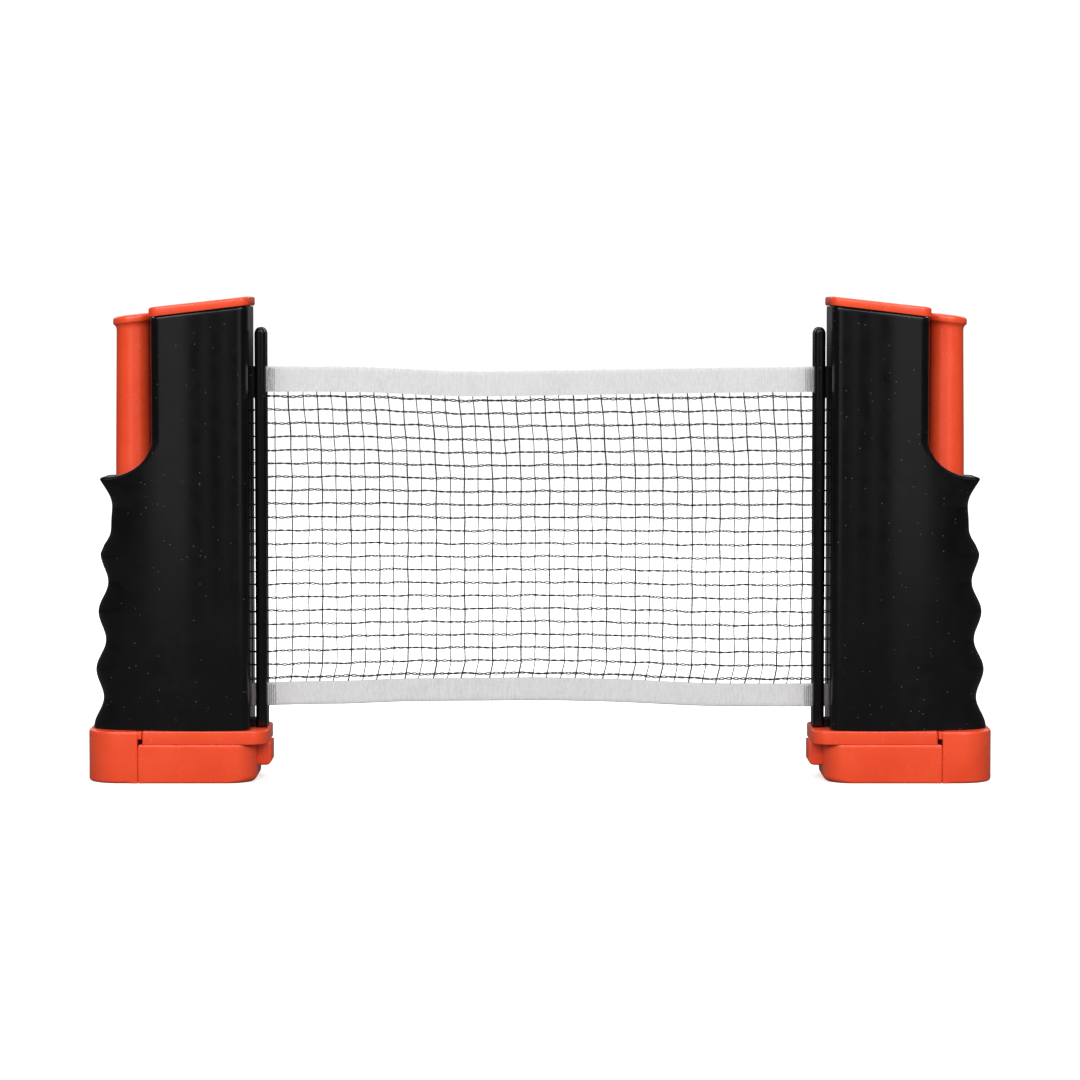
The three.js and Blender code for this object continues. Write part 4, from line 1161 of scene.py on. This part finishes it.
def split_rays(tree, output, others, seen):
    """Sends one shader to the camera's own rays and the other to all the rest."""
    pick = tree.nodes.new("ShaderNodeMixShader")
    path = tree.nodes.new("ShaderNodeLightPath")
    tree.links.new(path.outputs["Is Camera Ray"], pick.inputs[0])
    tree.links.new(others.outputs[0], pick.inputs[1])
    tree.links.new(seen.outputs[0], pick.inputs[2])
    tree.links.new(pick.outputs[0], output.inputs["Surface"])


def floor_material():
    """Pale to the camera, and whiter with the distance, but dull in what the object mirrors."""
    n = Nodes("studio_floor")
    length = n.add("ShaderNodeVectorMath", operation="LENGTH")
    n.link(n.place, length.inputs[0])
    glow = n.add("ShaderNodeEmission")
    n.link(n.spread(length.outputs["Value"], 0.5, 1.0, 0.25, 1.6), glow.inputs["Strength"])
    both = n.add("ShaderNodeAddShader")
    n.link(coloured(n.tree, "ShaderNodeBsdfDiffuse", 0.9).outputs[0], both.inputs[0])
    n.link(glow.outputs[0], both.inputs[1])
    dull = coloured(n.tree, "ShaderNodeBsdfDiffuse", 0.14)
    split_rays(n.tree, n.tree.nodes["Material Output"], dull, both)
    n.tree.nodes.remove(n.shader)
    return n.material


def build_floor():
    radii, segments = (0.6, 1.5, 4, 12, 30), 48
    points = [(0, 0, 0)]
    for radius in radii:
        for i in range(segments):
            a = 2 * math.pi * i / segments
            points.append((radius * math.cos(a), radius * math.sin(a), 0))
    faces = [(0, 1 + i, 1 + (i + 1) % segments) for i in range(segments)]
    for j in range(len(radii) - 1):
        base = 1 + j * segments
        for i in range(segments):
            k = (i + 1) % segments
            faces.append((base + i, base + segments + i, base + segments + k, base + k))
    floor = new_object("studio_floor", points, faces)
    floor.data.materials.append(floor_material())


def build_world():
    world = bpy.data.worlds.new("studio")
    bpy.context.scene.world = world
    world.use_nodes = True
    tree = world.node_tree
    tree.nodes.clear()
    white, dim = (coloured(tree, "ShaderNodeBackground", 1) for _ in range(2))
    white.inputs["Strength"].default_value = 1.05
    dim.inputs["Strength"].default_value = 0.12
    split_rays(tree, tree.nodes.new("ShaderNodeOutputWorld"), dim, white)


def softbox(name, place, wide, tall, power, aim=(0, 0, 0.1)):
    data = bpy.data.lights.new(name, "AREA")
    data.shape = "RECTANGLE"
    data.size, data.size_y = wide, tall
    data.energy = power
    obj = bpy.data.objects.new(name, data)
    bpy.context.scene.collection.objects.link(obj)
    obj.location = place
    obj.rotation_euler = (Vector(aim) - Vector(place)).to_track_quat("-Z", "Y").to_euler()


def build_world():
    world = bpy.data.worlds.new("studio")
    bpy.context.scene.world = world
    world.use_nodes = True
    tree = world.node_tree
    tree.nodes.clear()
    out = tree.nodes.new("ShaderNodeOutputWorld")
    path = tree.nodes.new("ShaderNodeLightPath")
    white = tree.nodes.new("ShaderNodeBackground")
    white.inputs["Color"].default_value = (1, 1, 1, 1)
    white.inputs["Strength"].default_value = 1.05
    dim = tree.nodes.new("ShaderNodeBackground")
    dim.inputs["Color"].default_value = (1, 1, 1, 1)
    dim.inputs["Strength"].default_value = 0.12
    pick = tree.nodes.new("ShaderNodeMixShader")
    tree.links.new(path.outputs["Is Camera Ray"], pick.inputs[0])
    tree.links.new(dim.outputs[0], pick.inputs[1])
    tree.links.new(white.outputs[0], pick.inputs[2])
    tree.links.new(pick.outputs[0], out.inputs["Surface"])


build_floor()
build_world()
for side, label in ((-1, "left"), (1, "right")):
    softbox(f"key_{label}", (side * 0.82, -1.15, 0.95), 0.9, 0.9, 13)
    softbox(f"front_{label}", (side * 0.66, -1.25, 0.12), 0.55, 0.6, 0.85)
    softbox(f"strip_{label}", (side * 0.17, -1.6, 0.1), 0.1, 0.6, 0.13)
softbox("fill", (0, -1.45, 0.75), 0.9, 0.3, 6)
softbox("overhead", (0, -0.1, 1.5), 1.4, 0.9, 9, aim=(0, 0, 0))
for side, label in ((-1, "left"), (1, "right")):
    softbox(f"behind_{label}", (side * 0.7, 1.3, 0.9), 1.2, 0.9, 6)

camera_data = bpy.data.cameras.new("camera")
camera = bpy.data.objects.new("camera", camera_data)
bpy.context.scene.collection.objects.link(camera)
bpy.context.scene.camera = camera
distance, elevation = 1.5, math.radians(3.5)
seen_width = 0.44525            # metres across the picture at the object
camera_data.sensor_width = 36
camera_data.lens = camera_data.sensor_width * distance / seen_width
camera_data.clip_start, camera_data.clip_end = 0.05, 60
camera.location = centre + Vector((0, -distance * math.cos(elevation), distance * math.sin(elevation)))
camera.rotation_euler = (centre - camera.location).to_track_quat("-Z", "Y").to_euler()

bpy.context.scene.view_settings.view_transform = "Standard"
